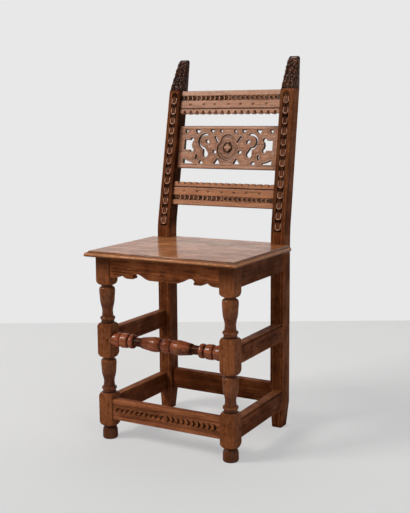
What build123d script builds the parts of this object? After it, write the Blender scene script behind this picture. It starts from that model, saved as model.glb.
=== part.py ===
from build123d import *
from math import atan, cos, pi, sin, sqrt
import os

# A joined chair: turned front legs, raked and carved back posts, mortise and tenon rails
# held by drawbore pegs. Millimetres. The front faces -Y, +X is on the right as the chair is
# seen from the front, Z is up, and the origin is on the floor under the middle.

os.makedirs("parts", exist_ok=True)

# ---- overall sizes
seat_height = 504.5
seat_thickness = 14.5
frame_width = 401.0  # over the front legs
post_span = 394.6  # over the back posts, up to the knee
frame_depth = 337.0  # front of the legs to the back of the posts
post_height = 1000.5

# ---- front legs
leg_square = 40.0
turning_margin = 0.3  # the turning starts just outside a block's corners
foot_radius = 20.0
foot_edge = 2.2  # the foot's underside is smaller than its widest part by this
foot_belly = 0.3  # its widest part, as a share of its height
foot_neck = 3.0
neck_radius = 14.7
neck_length = 5.0
ring_neck_radius = 17.0  # under a ring
waist_radius = 14.0
ring_radius = 19.8
ring_height = 9.0
vase_radius = 19.8
vase_slimming = 1.4  # low on the vase
vase_shoulder = 3.4  # over the neck, where the vase turns in
vase_shoulder_drop = 6.0
ring_place = 0.13  # places up a turned stretch, as shares of its height
waist_place = 0.29
vase_low_place = 0.54
vase_belly_place = 0.71
foot_height = 35.0
lower_block_top = 125.5
middle_block_bottom = 220.5
middle_block_top = 312.5
upper_block_height = 77.0

# ---- back posts
post_width = 40.0
post_depth = 42.0
knee_over_seat = 30.0  # the rake starts this far over the seat
knee_radius = 300.0
rake_slope = 0.177
post_inner_lean = 3.6  # the inner face leans in by this at the finial
post_outer_lean = 5.6
finial_height = 87.0
finial_set_back = 24.0  # how far its sloping front has gone back under the cap
finial_cap = 15.0
finial_round = 4.0
finial_taper = 3.0
foot_taper = 6.0
foot_taper_height = 66.5
panel_margin = 9.5
panel_depth = 3.0
panel_stop = 4.0  # the sunk panel ends this far under the finial

# ---- seat board
seat_front_overhang = 26.3
seat_side_overhang = 18.2
seat_back_setback = 11.0
seat_notch_gap = 0.4
nosing_height = 9.5
nosing_round = 2.0  # where the nosing's curve meets the underside
quirk_inset = 3.6
arris_inset = 8.8
arris_height = 1.4
quirk_height = 1.0
cove_out = 0.72  # the cove's middle, as shares of its width and height
cove_rise = 0.28

# ---- rails and stretchers under the seat
rail_thickness = 21.6
front_inset = 3.0  # front rails stand back from the legs' faces
side_inset = 2.0
rear_setback = 9.0
seat_rail_height = 55.5
side_upper_bottom = 244.5
side_upper_top = 293.0
side_lower_bottom = 55.5
side_lower_top = 108.0
front_lower_bottom = 56.5
front_lower_top = 111.0
rear_lower_bottom = 64.5
rear_lower_top = 119.5
bead_width = 5.0
bead_groove = 2.0
apron_height = 54.0  # to the lowest part of the apron's shaped edge
apron_arch = 14.0  # from there up to the cusps
stretcher_line = 15.0  # scratched lines, from the middle of the lower front stretcher

# ---- turned stretcher
spindle_height = 269.6
bell_length = 22.5
bead_length = 25.0
ring_length = 17.0
ring_stop = 2.0  # plain step inside the ring
vase_stop = 2.5  # plain step outside the vase
ball_stop = 1.5  # plain step beside the middle ball
ring_step = 0.8  # the steps beside the ring stand over the waist by this
ball_radius = 18.6
ball_half = 14.5
spindle_vase_radius = 19.3
spindle_waist_radius = 11.4
spindle_pinch_radius = 14.0
spindle_ring_radius = 18.6
spindle_bead_radius = 19.3
spindle_bell_radius = 19.8
spindle_tenon_radius = 8.0

# ---- back rails
rail_setback = 7.5
back_rail_thickness = 20.0
pierced_setback = 14.5
pierced_thickness = 10.5
slot_width = 4.8
scroll_radius = 19.5
lozenge_side = 21.0
shield_depth = 3.4
crest_height = 62.5
pierced_height = 117.5
lower_rail_height = 63.5
upper_gap_share = 0.2435  # of the back's open height, over the pierced rail
middle_gap_share = 0.2841  # and under it
plain_band = 14.0
gouge_band = 13.0
gouge_depth = 3.0
dot_band = 21.5
groove_width = 2.6
groove_depth = 3.0
scallop_pitch = 20.0
scallop_width = 9.5
scallop_depth = 3.4

# ---- joints
tenon_thickness = 8.0
front_tenon_length = 25.0
post_tenon_length = 20.0
back_tenon_length = 18.0
back_tenon_thickness = 6.0
tenon_shoulder = 6.0
tenon_wall = 3.0  # wood left between two mortises in one block
fit_side = 0.1  # clearance on each side of a tenon
fit_end = 1.0  # clearance at a tenon's end
peg_radius = 3.5
back_peg_radius = 2.5
peg_clearance = 0.05
peg_nose = 2.0  # a peg runs this far past its tenon
peg_proud = 0.6
seat_peg_length = 42.0
overshoot = 1.0  # a cut runs past an open face by this
mouth_overshoot = 6.0  # and past a leaning face by this
peg_counts = {
    "side_seat_rail": 2,
    "upper_side_stretcher": 1,
    "lower_side_stretcher": 1,
    "front_apron": 2,
    "lower_front_stretcher": 2,
    "rear_seat_rail": 2,
    "lower_rear_stretcher": 1,
    "crest_rail": 2,
    "pierced_rail": 2,
    "lower_back_rail": 2,
}

# ---- places worked out from the sizes
rake = atan(rake_slope)
seat_under = seat_height - seat_thickness
knee_height = seat_height + knee_over_seat
upper_block_bottom = seat_under - upper_block_height
seat_rail_bottom = seat_under - seat_rail_height
apron_foot = seat_under - apron_height
finial_base = post_height - finial_height
crest_top = finial_base
crest_bottom = crest_top - crest_height
open_height = crest_bottom - pierced_height - lower_rail_height - knee_height
pierced_top = crest_bottom - upper_gap_share * open_height
pierced_bottom = pierced_top - pierced_height
lower_rail_top = pierced_bottom - middle_gap_share * open_height
lower_rail_bottom = lower_rail_top - lower_rail_height
overall_depth = seat_front_overhang + frame_depth + rake_slope * (post_height - knee_height)
leg_front = seat_front_overhang - overall_depth / 2
leg_back = leg_front + leg_square
leg_axis_y = leg_front + leg_square / 2
leg_axis_x = frame_width / 2 - leg_square / 2
leg_inner = frame_width / 2 - leg_square
post_back = leg_front + frame_depth
post_front = post_back - post_depth
post_outer = post_span / 2
post_inner = post_outer - post_width
seat_half = frame_width / 2 + seat_side_overhang
seat_front = leg_front - seat_front_overhang
tenon_front_y = leg_front + front_inset + rail_thickness / 2

# The raked plane lies on the front of the posts above the knee: local x to the right,
# local y up the post, local z straight out of its front face.
raked_plane = Plane(
    origin=(0, post_front, knee_height),
    x_dir=(1, 0, 0),
    z_dir=(0, -cos(rake), sin(rake)),
)
finial_along = (finial_base - knee_height) / cos(rake)


def along(height):
    """Distance up the raked post from the knee for a height over the floor."""
    return (height - knee_height) / cos(rake)


def inner_x(distance):
    """Inner face of the right post, at a distance up from the knee."""
    return post_inner - post_inner_lean * distance / finial_along


def outer_x(distance):
    """Outer face of the right post, at a distance up from the knee."""
    return post_outer - post_outer_lean * distance / finial_along


def side_line(y):
    """Outer line of the right side of the frame, which narrows a little to the back."""
    toe = (post_outer - frame_width / 2) / (post_front + post_depth / 2 - leg_axis_y)
    return frame_width / 2 + toe * (y - leg_axis_y)


side_centre = side_inset + rail_thickness / 2
leg_tenon_x = side_line(leg_back) - side_centre - tenon_thickness / 2
post_tenon_x = side_line(post_front) - side_centre - tenon_thickness / 2
side_tenon_length = leg_back - tenon_wall - (tenon_front_y + tenon_thickness / 2)
rear_tenon_length = side_line(post_front + post_tenon_length) - side_centre
rear_tenon_length += -tenon_thickness / 2 - post_inner - tenon_wall - fit_end
spindle_tenon_length = leg_tenon_x - tenon_wall - fit_end - leg_inner
rear_front_y = post_front + rear_setback
tenon_rear_y = rear_front_y + rail_thickness / 2

# Each member's bottom and top; for those between the front legs, its tenons' bottom and top.
side_members = {
    "side_seat_rail": (seat_rail_bottom, seat_under),
    "upper_side_stretcher": (side_upper_bottom, side_upper_top),
    "lower_side_stretcher": (side_lower_bottom, side_lower_top),
}
front_members = {
    "front_apron": (
        apron_foot + apron_arch + tenon_shoulder / 2,
        seat_under - tenon_shoulder,
    ),
    "lower_front_stretcher": (
        front_lower_bottom + tenon_shoulder,
        front_lower_top - tenon_shoulder,
    ),
}
rear_members = {
    "rear_seat_rail": (seat_rail_bottom, seat_under),
    "lower_rear_stretcher": (rear_lower_bottom, rear_lower_top),
}
# Each rail of the back: bottom, top, setback, thickness.
back_members = {
    "crest_rail": (crest_bottom, crest_top, rail_setback, back_rail_thickness),
    "pierced_rail": (pierced_bottom, pierced_top, pierced_setback, pierced_thickness),
    "lower_back_rail": (lower_rail_bottom, lower_rail_top, rail_setback, back_rail_thickness),
}


def side_strip(y_low, y_high, half, centre=side_centre):
    """Corners, in plan, of a strip that follows the right side of the frame."""
    return [
        (side_line(y_low) - centre - half, y_low),
        (side_line(y_low) - centre + half, y_low),
        (side_line(y_high) - centre + half, y_high),
        (side_line(y_high) - centre - half, y_high),
    ]


def peg_heights(name, bottom, top):
    """Heights of the pegs of one of a member's tenons, spread evenly between its edges."""
    count = peg_counts[name]
    return [bottom + (top - bottom) * (i + 0.5) / count for i in range(count)]


def peg(start, direction, length, radius):
    """A tapered-nose drawbore peg, its head just proud of the start point."""
    place = Plane(origin=start, z_dir=direction).offset(-peg_proud)
    with BuildPart(mode=Mode.PRIVATE) as stick:
        with BuildSketch(place):
            Circle(radius)
        extrude(amount=length + peg_proud)
        chamfer(stick.edges().filter_by(GeomType.CIRCLE), peg_proud / 2)
    return stick.part


def peg_hole(start, direction, length, radius):
    """The hole for one peg, open at the face and a little deeper than the peg."""
    place = Plane(origin=start, z_dir=direction).offset(-peg_proud)
    with BuildPart(mode=Mode.PRIVATE) as drill:
        with BuildSketch(place):
            Circle(radius + peg_clearance)
        extrude(amount=length + 2 * peg_proud)
    return drill.part


# ---- where the pegs go: lists of (start, direction, length, radius), right side
leg_peg_y = leg_back - side_tenon_length / 2
post_peg_y = post_front + post_tenon_length / 2
side_pegs = {}
for name, (bottom, top) in side_members.items():
    leg_length = frame_width / 2 - leg_tenon_x + peg_nose
    post_length = post_outer - post_tenon_x + peg_nose
    side_pegs[name] = []
    for z in peg_heights(name, bottom + tenon_shoulder, top - tenon_shoulder):
        spot = (frame_width / 2, leg_peg_y, z)
        side_pegs[name].append((spot, (-1, 0, 0), leg_length, peg_radius))
        spot = (post_outer, post_peg_y, z)
        side_pegs[name].append((spot, (-1, 0, 0), post_length, peg_radius))

front_pegs = {}
front_peg_length = front_inset + (rail_thickness + tenon_thickness) / 2 + peg_nose
for name, (bottom, top) in front_members.items():
    spots = [
        (leg_inner + front_tenon_length / 2, leg_front, z)
        for z in peg_heights(name, bottom, top)
    ]
    front_pegs[name] = [(spot, (0, 1, 0), front_peg_length, peg_radius) for spot in spots]
spindle_peg_length = leg_square / 2 + spindle_tenon_radius + peg_nose
spindle_peg = (leg_inner + spindle_tenon_length / 2, leg_front, spindle_height)
front_pegs["turned_stretcher"] = [(spindle_peg, (0, 1, 0), spindle_peg_length, peg_radius)]

rear_pegs = {}
rear_peg_length = post_back - tenon_rear_y + tenon_thickness / 2 + peg_nose
for name, (bottom, top) in rear_members.items():
    spots = [
        (post_inner + rear_tenon_length / 2, post_back, z)
        for z in peg_heights(name, bottom + tenon_shoulder, top - tenon_shoulder)
    ]
    rear_pegs[name] = [(spot, (0, -1, 0), rear_peg_length, back_peg_radius) for spot in spots]

back_pegs = {}
forward = tuple(raked_plane.z_dir)
for name, (bottom, top, setback, thickness) in back_members.items():
    length = post_depth - setback - (thickness - back_tenon_thickness) / 2 + peg_nose
    back_pegs[name] = []
    low = along(bottom) + tenon_shoulder
    for v in peg_heights(name, low, along(top) - tenon_shoulder):
        local = (inner_x(v) + back_tenon_length / 2, v, -post_depth)
        spot = tuple(raked_plane.from_local_coords(local))
        back_pegs[name].append((spot, forward, length, back_peg_radius))


# the seat board is pegged down into the apron, the side rails and the rear rail
seat_peg_x = frame_width / 4
seat_peg_y = (leg_back + post_front) / 2
seat_pegs = [
    ((place[0], place[1], seat_height - peg_proud), (0, 0, -1), seat_peg_length, peg_radius)
    for place in (
        (0, tenon_front_y),
        (seat_peg_x, tenon_front_y),
        (-seat_peg_x, tenon_front_y),
        (side_line(seat_peg_y) - side_centre, seat_peg_y),
        (side_centre - side_line(seat_peg_y), seat_peg_y),
        (seat_peg_x, tenon_rear_y),
        (-seat_peg_x, tenon_rear_y),
    )
]


def both_sides(shapes):
    """The shapes and their mirror images on the other side of the chair."""
    return shapes + [mirror(shape, about=Plane.YZ) for shape in shapes]


# ---- front legs
block_corner = leg_square / sqrt(2) + turning_margin
neck = neck_radius
leg_plane = Plane(origin=(leg_axis_x, leg_axis_y, 0), x_dir=(1, 0, 0), z_dir=(0, -1, 0))


def shoulder(height, up, throat):
    """A turned quarter-round shoulder from a throat out to a block's corners."""
    r = block_corner - throat
    lift = r if up else -r
    middle = (throat + r * sin(pi / 4), height + lift * (1 - cos(pi / 4)))
    ends = [(throat, height), (block_corner, height + lift)]
    if not up:
        ends.reverse()
    return ThreePointArc(ends[0], middle, ends[1])


def baluster(bottom, top):
    """One turned stretch between two blocks: ring at its foot, vase above."""
    rise = top - bottom
    ring = bottom + ring_place * rise
    neck_start = top - neck_length
    low = (ring_neck_radius, ring - ring_height / 2)
    Line((ring_neck_radius, bottom), low)
    high = (neck, ring + ring_height / 2)
    Spline(low, (ring_radius, ring), high, tangents=[(1, 0.25), (-1, 0.25)])
    Spline(
        high,
        (waist_radius, bottom + waist_place * rise),
        (vase_radius - vase_slimming, bottom + vase_low_place * rise),
        (vase_radius, bottom + vase_belly_place * rise),
        (neck + vase_shoulder, top - vase_shoulder_drop),
        (neck, neck_start),
        tangents=[(0.1, 1), (-1, 0.1)],
    )
    Line((neck, neck_start), (neck, top))


with BuildPart() as front_leg_right:
    with BuildSketch(leg_plane):
        with BuildLine():
            Line((0, 0), (foot_radius - foot_edge, 0))
            Spline(
                (foot_radius - foot_edge, 0),
                (foot_radius, foot_height * foot_belly),
                (neck + foot_neck, foot_height - 2 * foot_neck),
                (neck, foot_height - foot_neck),
                tangents=[(1, 0.6), (-1, 0.3)],
            )
            Line((neck, foot_height - foot_neck), (neck, foot_height))
            shoulder(foot_height, up=True, throat=neck)
            Line(
                (block_corner, foot_height + block_corner - neck),
                (block_corner, lower_block_top - block_corner + ring_neck_radius),
            )
            shoulder(lower_block_top, up=False, throat=ring_neck_radius)
            baluster(lower_block_top, middle_block_bottom)
            shoulder(middle_block_bottom, up=True, throat=neck)
            Line(
                (block_corner, middle_block_bottom + block_corner - neck),
                (block_corner, middle_block_top - block_corner + ring_neck_radius),
            )
            shoulder(middle_block_top, up=False, throat=ring_neck_radius)
            baluster(middle_block_top, upper_block_bottom)
            shoulder(upper_block_bottom, up=True, throat=neck)
            Line(
                (block_corner, upper_block_bottom + block_corner - neck),
                (block_corner, seat_under),
            )
            Line((block_corner, seat_under), (0, seat_under))
            Line((0, seat_under), (0, 0))
        make_face()
    revolve(axis=Axis((leg_axis_x, leg_axis_y, 0), (0, 0, 1)))
    with BuildSketch():
        with Locations((leg_axis_x, leg_axis_y)):
            Rectangle(leg_square, leg_square)
    extrude(amount=seat_under, mode=Mode.INTERSECT)
    # mortises for the front members, from the inner face
    for bottom, top in front_members.values():
        with BuildSketch(Plane.YZ.offset(leg_inner)):
            with Locations((tenon_front_y, (bottom + top) / 2)):
                Rectangle(tenon_thickness + 2 * fit_side, top - bottom + 2 * fit_side)
        extrude(amount=front_tenon_length + fit_end, mode=Mode.SUBTRACT)
    with BuildSketch(Plane.YZ.offset(leg_inner)):
        with Locations((leg_axis_y, spindle_height)):
            Circle(spindle_tenon_radius + peg_clearance)
    extrude(amount=spindle_tenon_length + fit_end, mode=Mode.SUBTRACT)
    # mortises for the side members, from the back face
    for bottom, top in side_members.values():
        with BuildSketch(Plane.XY.offset(bottom + tenon_shoulder - fit_side)):
            low = leg_back - side_tenon_length - fit_end
            high = leg_back + overshoot
            Polygon(*side_strip(low, high, tenon_thickness / 2 + fit_side), align=None)
        height = top - bottom - 2 * (tenon_shoulder - fit_side)
        extrude(amount=height, mode=Mode.SUBTRACT)
    for spots in side_pegs.values():
        add([peg_hole(*spot) for spot in spots[0::2]], mode=Mode.SUBTRACT)
    for spots in front_pegs.values():
        add([peg_hole(*spot) for spot in spots], mode=Mode.SUBTRACT)

with BuildPart() as front_leg_left:
    add(mirror(front_leg_right.part, about=Plane.YZ))

# ---- back posts
rear_top = post_back + rake_slope * (post_height - knee_height)
front_top = rear_top - post_depth

with BuildPart() as back_post_right:
    slab_x = post_inner - 2 * post_inner_lean
    with BuildSketch(Plane.YZ.offset(slab_x)):
        with BuildLine():
            finial_front = post_front + rake_slope * (finial_base - knee_height)
            cap_height = post_height - finial_cap
            cap_front = post_front + rake_slope * (cap_height - knee_height)
            Polyline(
                (post_front, 0),
                (post_back - foot_taper, 0),
                (post_back, foot_taper_height),
                (post_back, knee_height),
                (rear_top, post_height),
                (front_top + finial_set_back + finial_cap / 2, post_height),
                (cap_front + finial_set_back, cap_height),
                (finial_front, finial_base),
                (post_front, knee_height),
                close=True,
            )
        make_face()
        knee_points = [v for v in vertices() if abs(v.Y - knee_height) < 1]
        fillet(knee_points, knee_radius)
        fillet(vertices().sort_by(Axis.X)[-1], finial_round)
    extrude(amount=post_outer - slab_x + overshoot)
    # front outline: leaning faces, tapered finial and foot, square to the rake
    with BuildSketch(raked_plane) as front_outline:
        with BuildLine():
            top = along(post_height) + post_depth
            low = -along(2 * knee_height)
            Polyline(
                (post_inner, low),
                (post_outer, low),
                (post_outer, 0),
                (outer_x(finial_along), finial_along),
                (outer_x(top) - finial_taper, top),
                (inner_x(top) + finial_taper, top),
                (inner_x(finial_along), finial_along),
                (post_inner, 0),
                close=True,
            )
        make_face()
    extrude(amount=post_height / 2, both=True, mode=Mode.INTERSECT)
    # tapered foot, seen from the front
    with BuildSketch(Plane.XZ.offset(-post_front + overshoot)):
        for face_x, way in ((post_inner, 1), (post_outer, -1)):
            with BuildLine():
                Polyline(
                    (face_x - way, 0),
                    (face_x + way * foot_taper, 0),
                    (face_x, foot_taper_height),
                    (face_x - way, foot_taper_height),
                    close=True,
                )
            make_face()
    extrude(amount=-post_depth - 2 * overshoot, mode=Mode.SUBTRACT)
    # sunk panel for the carving on the front face
    with BuildSketch(raked_plane):
        with BuildLine():
            panel_end = along(finial_base - panel_stop)
            Polyline(
                (inner_x(0) + panel_margin, 0),
                (outer_x(0) - panel_margin, 0),
                (outer_x(panel_end) - panel_margin, panel_end),
                (inner_x(panel_end) + panel_margin, panel_end),
                close=True,
            )
        make_face()
    extrude(amount=-panel_depth, mode=Mode.SUBTRACT)
    # mortises for the side members, from the front face
    for bottom, top in side_members.values():
        with BuildSketch(Plane.XY.offset(bottom + tenon_shoulder - fit_side)):
            high = post_front + post_tenon_length + fit_end
            low = post_front - overshoot
            Polygon(*side_strip(low, high, tenon_thickness / 2 + fit_side), align=None)
        height = top - bottom - 2 * (tenon_shoulder - fit_side)
        extrude(amount=height, mode=Mode.SUBTRACT)
    # mortises for the rear rail and stretcher, from the inner face
    for bottom, top in rear_members.values():
        with BuildSketch(Plane.YZ.offset(post_inner)):
            with Locations((tenon_rear_y, (bottom + top) / 2)):
                height = top - bottom - 2 * (tenon_shoulder - fit_side)
                Rectangle(tenon_thickness + 2 * fit_side, height)
        extrude(amount=rear_tenon_length + fit_end, mode=Mode.SUBTRACT)
    # mortises for the rails of the back
    for bottom, top, setback, thickness in back_members.values():
        middle = setback + thickness / 2
        width = back_tenon_thickness + 2 * fit_side
        with BuildSketch(raked_plane.offset(-middle - width / 2)):
            low = along(bottom) + tenon_shoulder - fit_side
            high = along(top) - tenon_shoulder + fit_side
            deep = inner_x(along(bottom)) + back_tenon_length + fit_end
            mouth = inner_x(high) - mouth_overshoot
            with Locations(((mouth + deep) / 2, (low + high) / 2)):
                Rectangle(deep - mouth, high - low)
        extrude(amount=width, mode=Mode.SUBTRACT)
    for spots in side_pegs.values():
        add([peg_hole(*spot) for spot in spots[1::2]], mode=Mode.SUBTRACT)
    for pegs in (rear_pegs, back_pegs):
        for spots in pegs.values():
            add([peg_hole(*spot) for spot in spots], mode=Mode.SUBTRACT)

with BuildPart() as back_post_left:
    add(mirror(back_post_right.part, about=Plane.YZ))


seat_holes = [peg_hole(*spot) for spot in seat_pegs]

# ---- rails and stretchers between the front legs and the back posts
side_parts = {}
for name, (bottom, top) in side_members.items():
    with BuildPart() as side_member:
        with BuildSketch(Plane.XY.offset(bottom)):
            Polygon(*side_strip(leg_back, post_front, rail_thickness / 2), align=None)
        extrude(amount=top - bottom)
        if name != "side_seat_rail":
            # a scratched groove sets off a bead along the top of the outer face
            with BuildSketch(Plane.XY.offset(top - bead_width - bead_groove)):
                outer = side_inset + bead_groove / 4
                Polygon(*side_strip(leg_back, post_front, bead_groove / 2, outer), align=None)
            extrude(amount=bead_groove, mode=Mode.SUBTRACT)
        with BuildSketch(Plane.XY.offset(bottom + tenon_shoulder)):
            low = leg_back - side_tenon_length
            high = post_front + post_tenon_length
            Polygon(*side_strip(low, high, tenon_thickness / 2), align=None)
        extrude(amount=top - bottom - 2 * tenon_shoulder)
        add([peg_hole(*spot) for spot in side_pegs[name]], mode=Mode.SUBTRACT)
        add(seat_holes, mode=Mode.SUBTRACT)
    side_parts[name + "_right"] = side_member.part
    side_parts[name + "_left"] = mirror(side_member.part, about=Plane.YZ)


def apron_edge(*places):
    """Points of the apron's edge, from shares of its half length and of the arch's rise."""
    return [(part * leg_inner, apron_foot + lift * apron_arch) for part, lift in places]


# ---- shaped apron under the front of the seat; its edge is drawn from the middle outwards
middle_drop = apron_edge((0, 0.107), (0.044, 0), (0.224, 0))
middle_ogee = apron_edge((0.224, 0), (0.361, 0.5), (0.486, 1))
hook_top = apron_edge((0.486, 1), (0.536, 0.929), (0.564, 0.536))
hook_back = apron_edge((0.564, 0.536), (0.546, 0.25), (0.576, 0))
scroll_foot = apron_edge((0.576, 0), (0.667, 0))
end_rise = apron_edge((0.667, 0), (0.735, 0.32), (0.779, 0.857))
end_fall = apron_edge((0.779, 0.857), (0.816, 0.32), (0.885, 0))
end_run = apron_edge((0.885, 0), (1, -0.071))
with BuildPart() as front_apron:
    with BuildSketch(Plane.XZ.offset(-leg_front - front_inset)):
        with BuildLine():
            Polyline(middle_drop)
            Spline(middle_ogee, tangents=[(1, 0), (1, 0.05)])
            ThreePointArc(*hook_top)
            ThreePointArc(*hook_back)
            Line(*scroll_foot)
            ThreePointArc(*end_rise)
            ThreePointArc(*end_fall)
            Line(*end_run)
            Polyline(end_run[1], (leg_inner, seat_under), (0, seat_under), middle_drop[0])
        make_face()
        mirror(about=Plane.YZ)
    extrude(amount=-rail_thickness)
    bottom, top = front_members["front_apron"]
    with BuildSketch(Plane.XZ.offset(-tenon_front_y)):
        with Locations((0, (bottom + top) / 2)):
            Rectangle(2 * (leg_inner + front_tenon_length), top - bottom)
    extrude(amount=tenon_thickness / 2, both=True)
    holes = both_sides([peg_hole(*spot) for spot in front_pegs["front_apron"]])
    add(holes + seat_holes, mode=Mode.SUBTRACT)

# ---- turned stretcher between the middle blocks
spindle_plane = Plane(origin=(0, leg_axis_y, spindle_height), x_dir=(1, 0, 0), z_dir=(0, -1, 0))
with BuildPart() as turned_stretcher:
    with BuildSketch(spindle_plane):
        with BuildLine():
            reach = leg_inner
            bell = reach - bell_length
            bead = bell - bead_length
            ring = bead - ring_length
            ring_end = bead - ring_stop
            bead_end = bell - overshoot
            pinch = spindle_pinch_radius
            waist = spindle_waist_radius
            step = waist + ring_step
            vase = ball_half + ball_stop
            vase_end = ring - vase_stop
            vase_length = vase_end - vase
            Line((0, 0), (0, ball_radius))
            Spline(
                (0, ball_radius),
                (ball_half * 0.7, ball_radius * 0.85),
                (ball_half, pinch),
                tangents=[(1, 0), (0.3, -1)],
            )
            Line((ball_half, pinch), (vase, pinch))
            Spline(
                (vase, pinch),
                (vase + 0.07 * vase_length, 0.92 * spindle_vase_radius),
                (vase + 0.23 * vase_length, spindle_vase_radius),
                (vase + 0.48 * vase_length, 0.9 * spindle_vase_radius),
                (vase + 0.75 * vase_length, 0.7 * spindle_vase_radius),
                (vase_end, waist),
                tangents=[(0.2, 1), (1, -0.03)],
            )
            Line((vase_end, waist), (ring, waist))
            Spline(
                (ring, waist),
                ((ring + ring_end) / 2, spindle_ring_radius),
                (ring_end, step),
                tangents=[(0.1, 1), (0.1, -1)],
            )
            Line((ring_end, step), (bead, step))
            Spline(
                (bead, step),
                ((bead + bead_end) / 2, spindle_bead_radius),
                (bead_end, pinch),
                tangents=[(0.1, 1), (0.1, -1)],
            )
            Line((bead_end, pinch), (bell, pinch))
            Spline(
                (bell, pinch),
                (bell + 0.25 * bell_length, 0.93 * spindle_bell_radius),
                (reach, spindle_bell_radius),
                tangents=[(0.3, 1), (1, 0.05)],
            )
            Line((reach, spindle_bell_radius), (reach, spindle_tenon_radius))
            tenon_end = reach + spindle_tenon_length
            Line((reach, spindle_tenon_radius), (tenon_end, spindle_tenon_radius))
            Line((tenon_end, spindle_tenon_radius), (tenon_end, 0))
            Line((tenon_end, 0), (0, 0))
        make_face()
        mirror(about=Plane.YZ)
    revolve(axis=Axis((0, leg_axis_y, spindle_height), (1, 0, 0)))
    holes = both_sides([peg_hole(*spot) for spot in front_pegs["turned_stretcher"]])
    add(holes, mode=Mode.SUBTRACT)

# ---- lower front stretcher, with a sunk band for its carving
with BuildPart() as lower_front_stretcher:
    middle = (front_lower_bottom + front_lower_top) / 2
    with BuildSketch(Plane.XZ.offset(-leg_front - front_inset)):
        with Locations((0, middle)):
            Rectangle(2 * leg_inner, front_lower_top - front_lower_bottom)
    extrude(amount=-rail_thickness)
    with BuildSketch(Plane.XZ.offset(-leg_front - front_inset)):
        with Locations((0, middle)):
            Rectangle(2 * leg_inner, gouge_band)
        with Locations((0, middle + stretcher_line), (0, middle - stretcher_line)):
            Rectangle(2 * leg_inner, bead_groove)
    extrude(amount=-bead_groove / 2, mode=Mode.SUBTRACT)
    with BuildSketch(Plane.XZ.offset(-leg_front - front_inset)):
        with Locations((0, middle)):
            Rectangle(2 * leg_inner, gouge_band)
    extrude(amount=-gouge_depth, mode=Mode.SUBTRACT)
    bottom, top = front_members["lower_front_stretcher"]
    with BuildSketch(Plane.XZ.offset(-tenon_front_y)):
        with Locations((0, (bottom + top) / 2)):
            Rectangle(2 * (leg_inner + front_tenon_length), top - bottom)
    extrude(amount=tenon_thickness / 2, both=True)
    holes = both_sides([peg_hole(*spot) for spot in front_pegs["lower_front_stretcher"]])
    add(holes, mode=Mode.SUBTRACT)

# ---- plain rail and stretcher between the back posts
rear_parts = {}
for name, (bottom, top) in rear_members.items():
    with BuildPart() as rear_member:
        with BuildSketch(Plane.XZ.offset(-rear_front_y)):
            with Locations((0, (bottom + top) / 2)):
                Rectangle(2 * post_inner, top - bottom)
        extrude(amount=-rail_thickness)
        with BuildSketch(Plane.XZ.offset(-tenon_rear_y)):
            with Locations((0, (bottom + top) / 2)):
                Rectangle(2 * (post_inner + rear_tenon_length), top - bottom - 2 * tenon_shoulder)
        extrude(amount=tenon_thickness / 2, both=True)
        holes = both_sides([peg_hole(*spot) for spot in rear_pegs[name]])
        add(holes + seat_holes, mode=Mode.SUBTRACT)
    rear_parts[name] = rear_member.part


def rail_outline(low, high):
    """Corners of a back rail that fills the space between the leaning posts."""
    return [
        (-inner_x(low), low),
        (inner_x(low), low),
        (inner_x(high), high),
        (-inner_x(high), high),
    ]


def back_tenons(name):
    """Both tenons of a back rail, in one bar through its middle."""
    bottom, top, setback, thickness = back_members[name]
    low = along(bottom) + tenon_shoulder
    high = along(top) - tenon_shoulder
    middle = raked_plane.offset(-setback - thickness / 2)
    with BuildPart(mode=Mode.PRIVATE) as bar:
        with BuildSketch(middle):
            with Locations((0, (low + high) / 2)):
                Rectangle(2 * (inner_x(along(bottom)) + back_tenon_length), high - low)
        extrude(amount=back_tenon_thickness / 2, both=True)
    return bar.part


# ---- crest rail and lower back rail: a plain band, a gouged band, a flat with punched
# dots, a groove and a scalloped edge; the lower rail is the crest rail turned over
trimmed_parts = {}
for name, way in (("crest_rail", 1), ("lower_back_rail", -1)):
    bottom, top, setback, thickness = back_members[name]
    plain_edge, scallop_edge = (along(top), along(bottom))[::way]
    face = raked_plane.offset(-setback)
    with BuildPart() as trimmed_rail:
        with BuildSketch(face):
            Polygon(*rail_outline(along(bottom), along(top)), align=None)
            notches = int(2 * inner_x(scallop_edge) / scallop_pitch)
            sag = scallop_depth
            radius = (scallop_width**2 / 4 + sag**2) / (2 * sag)
            with Locations((0, scallop_edge - way * (radius - sag))):
                with GridLocations(scallop_pitch, 1, notches, 1):
                    Circle(radius, mode=Mode.SUBTRACT)
        extrude(amount=-thickness)
        gouge_edge = plain_edge - way * plain_band
        with BuildSketch(face):
            with Locations((0, gouge_edge - way * gouge_band / 2)):
                Rectangle(2 * post_outer, gouge_band)
        extrude(amount=-gouge_depth, mode=Mode.SUBTRACT)
        groove_edge = gouge_edge - way * (gouge_band + dot_band)
        with BuildSketch(face):
            with Locations((0, groove_edge - way * groove_width / 2)):
                Rectangle(2 * post_outer, groove_width)
        extrude(amount=-groove_depth, mode=Mode.SUBTRACT)
        add(back_tenons(name))
        holes = both_sides([peg_hole(*spot) for spot in back_pegs[name]])
        add(holes, mode=Mode.SUBTRACT)
    trimmed_parts[name] = trimmed_rail.part

# ---- pierced rail: scrolls cut right through a thin board, round a sunk shield. The pattern
# is drawn for the right half, from the board's middle, then stretched to fit and mirrored.
pattern_length = 158.5  # from the middle to the post
pattern_height = 59.7  # from the middle to the top
pattern_end = 139.6  # outermost cut
pattern_low = -45.8  # lowest cut
pattern_top = 48.2
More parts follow.
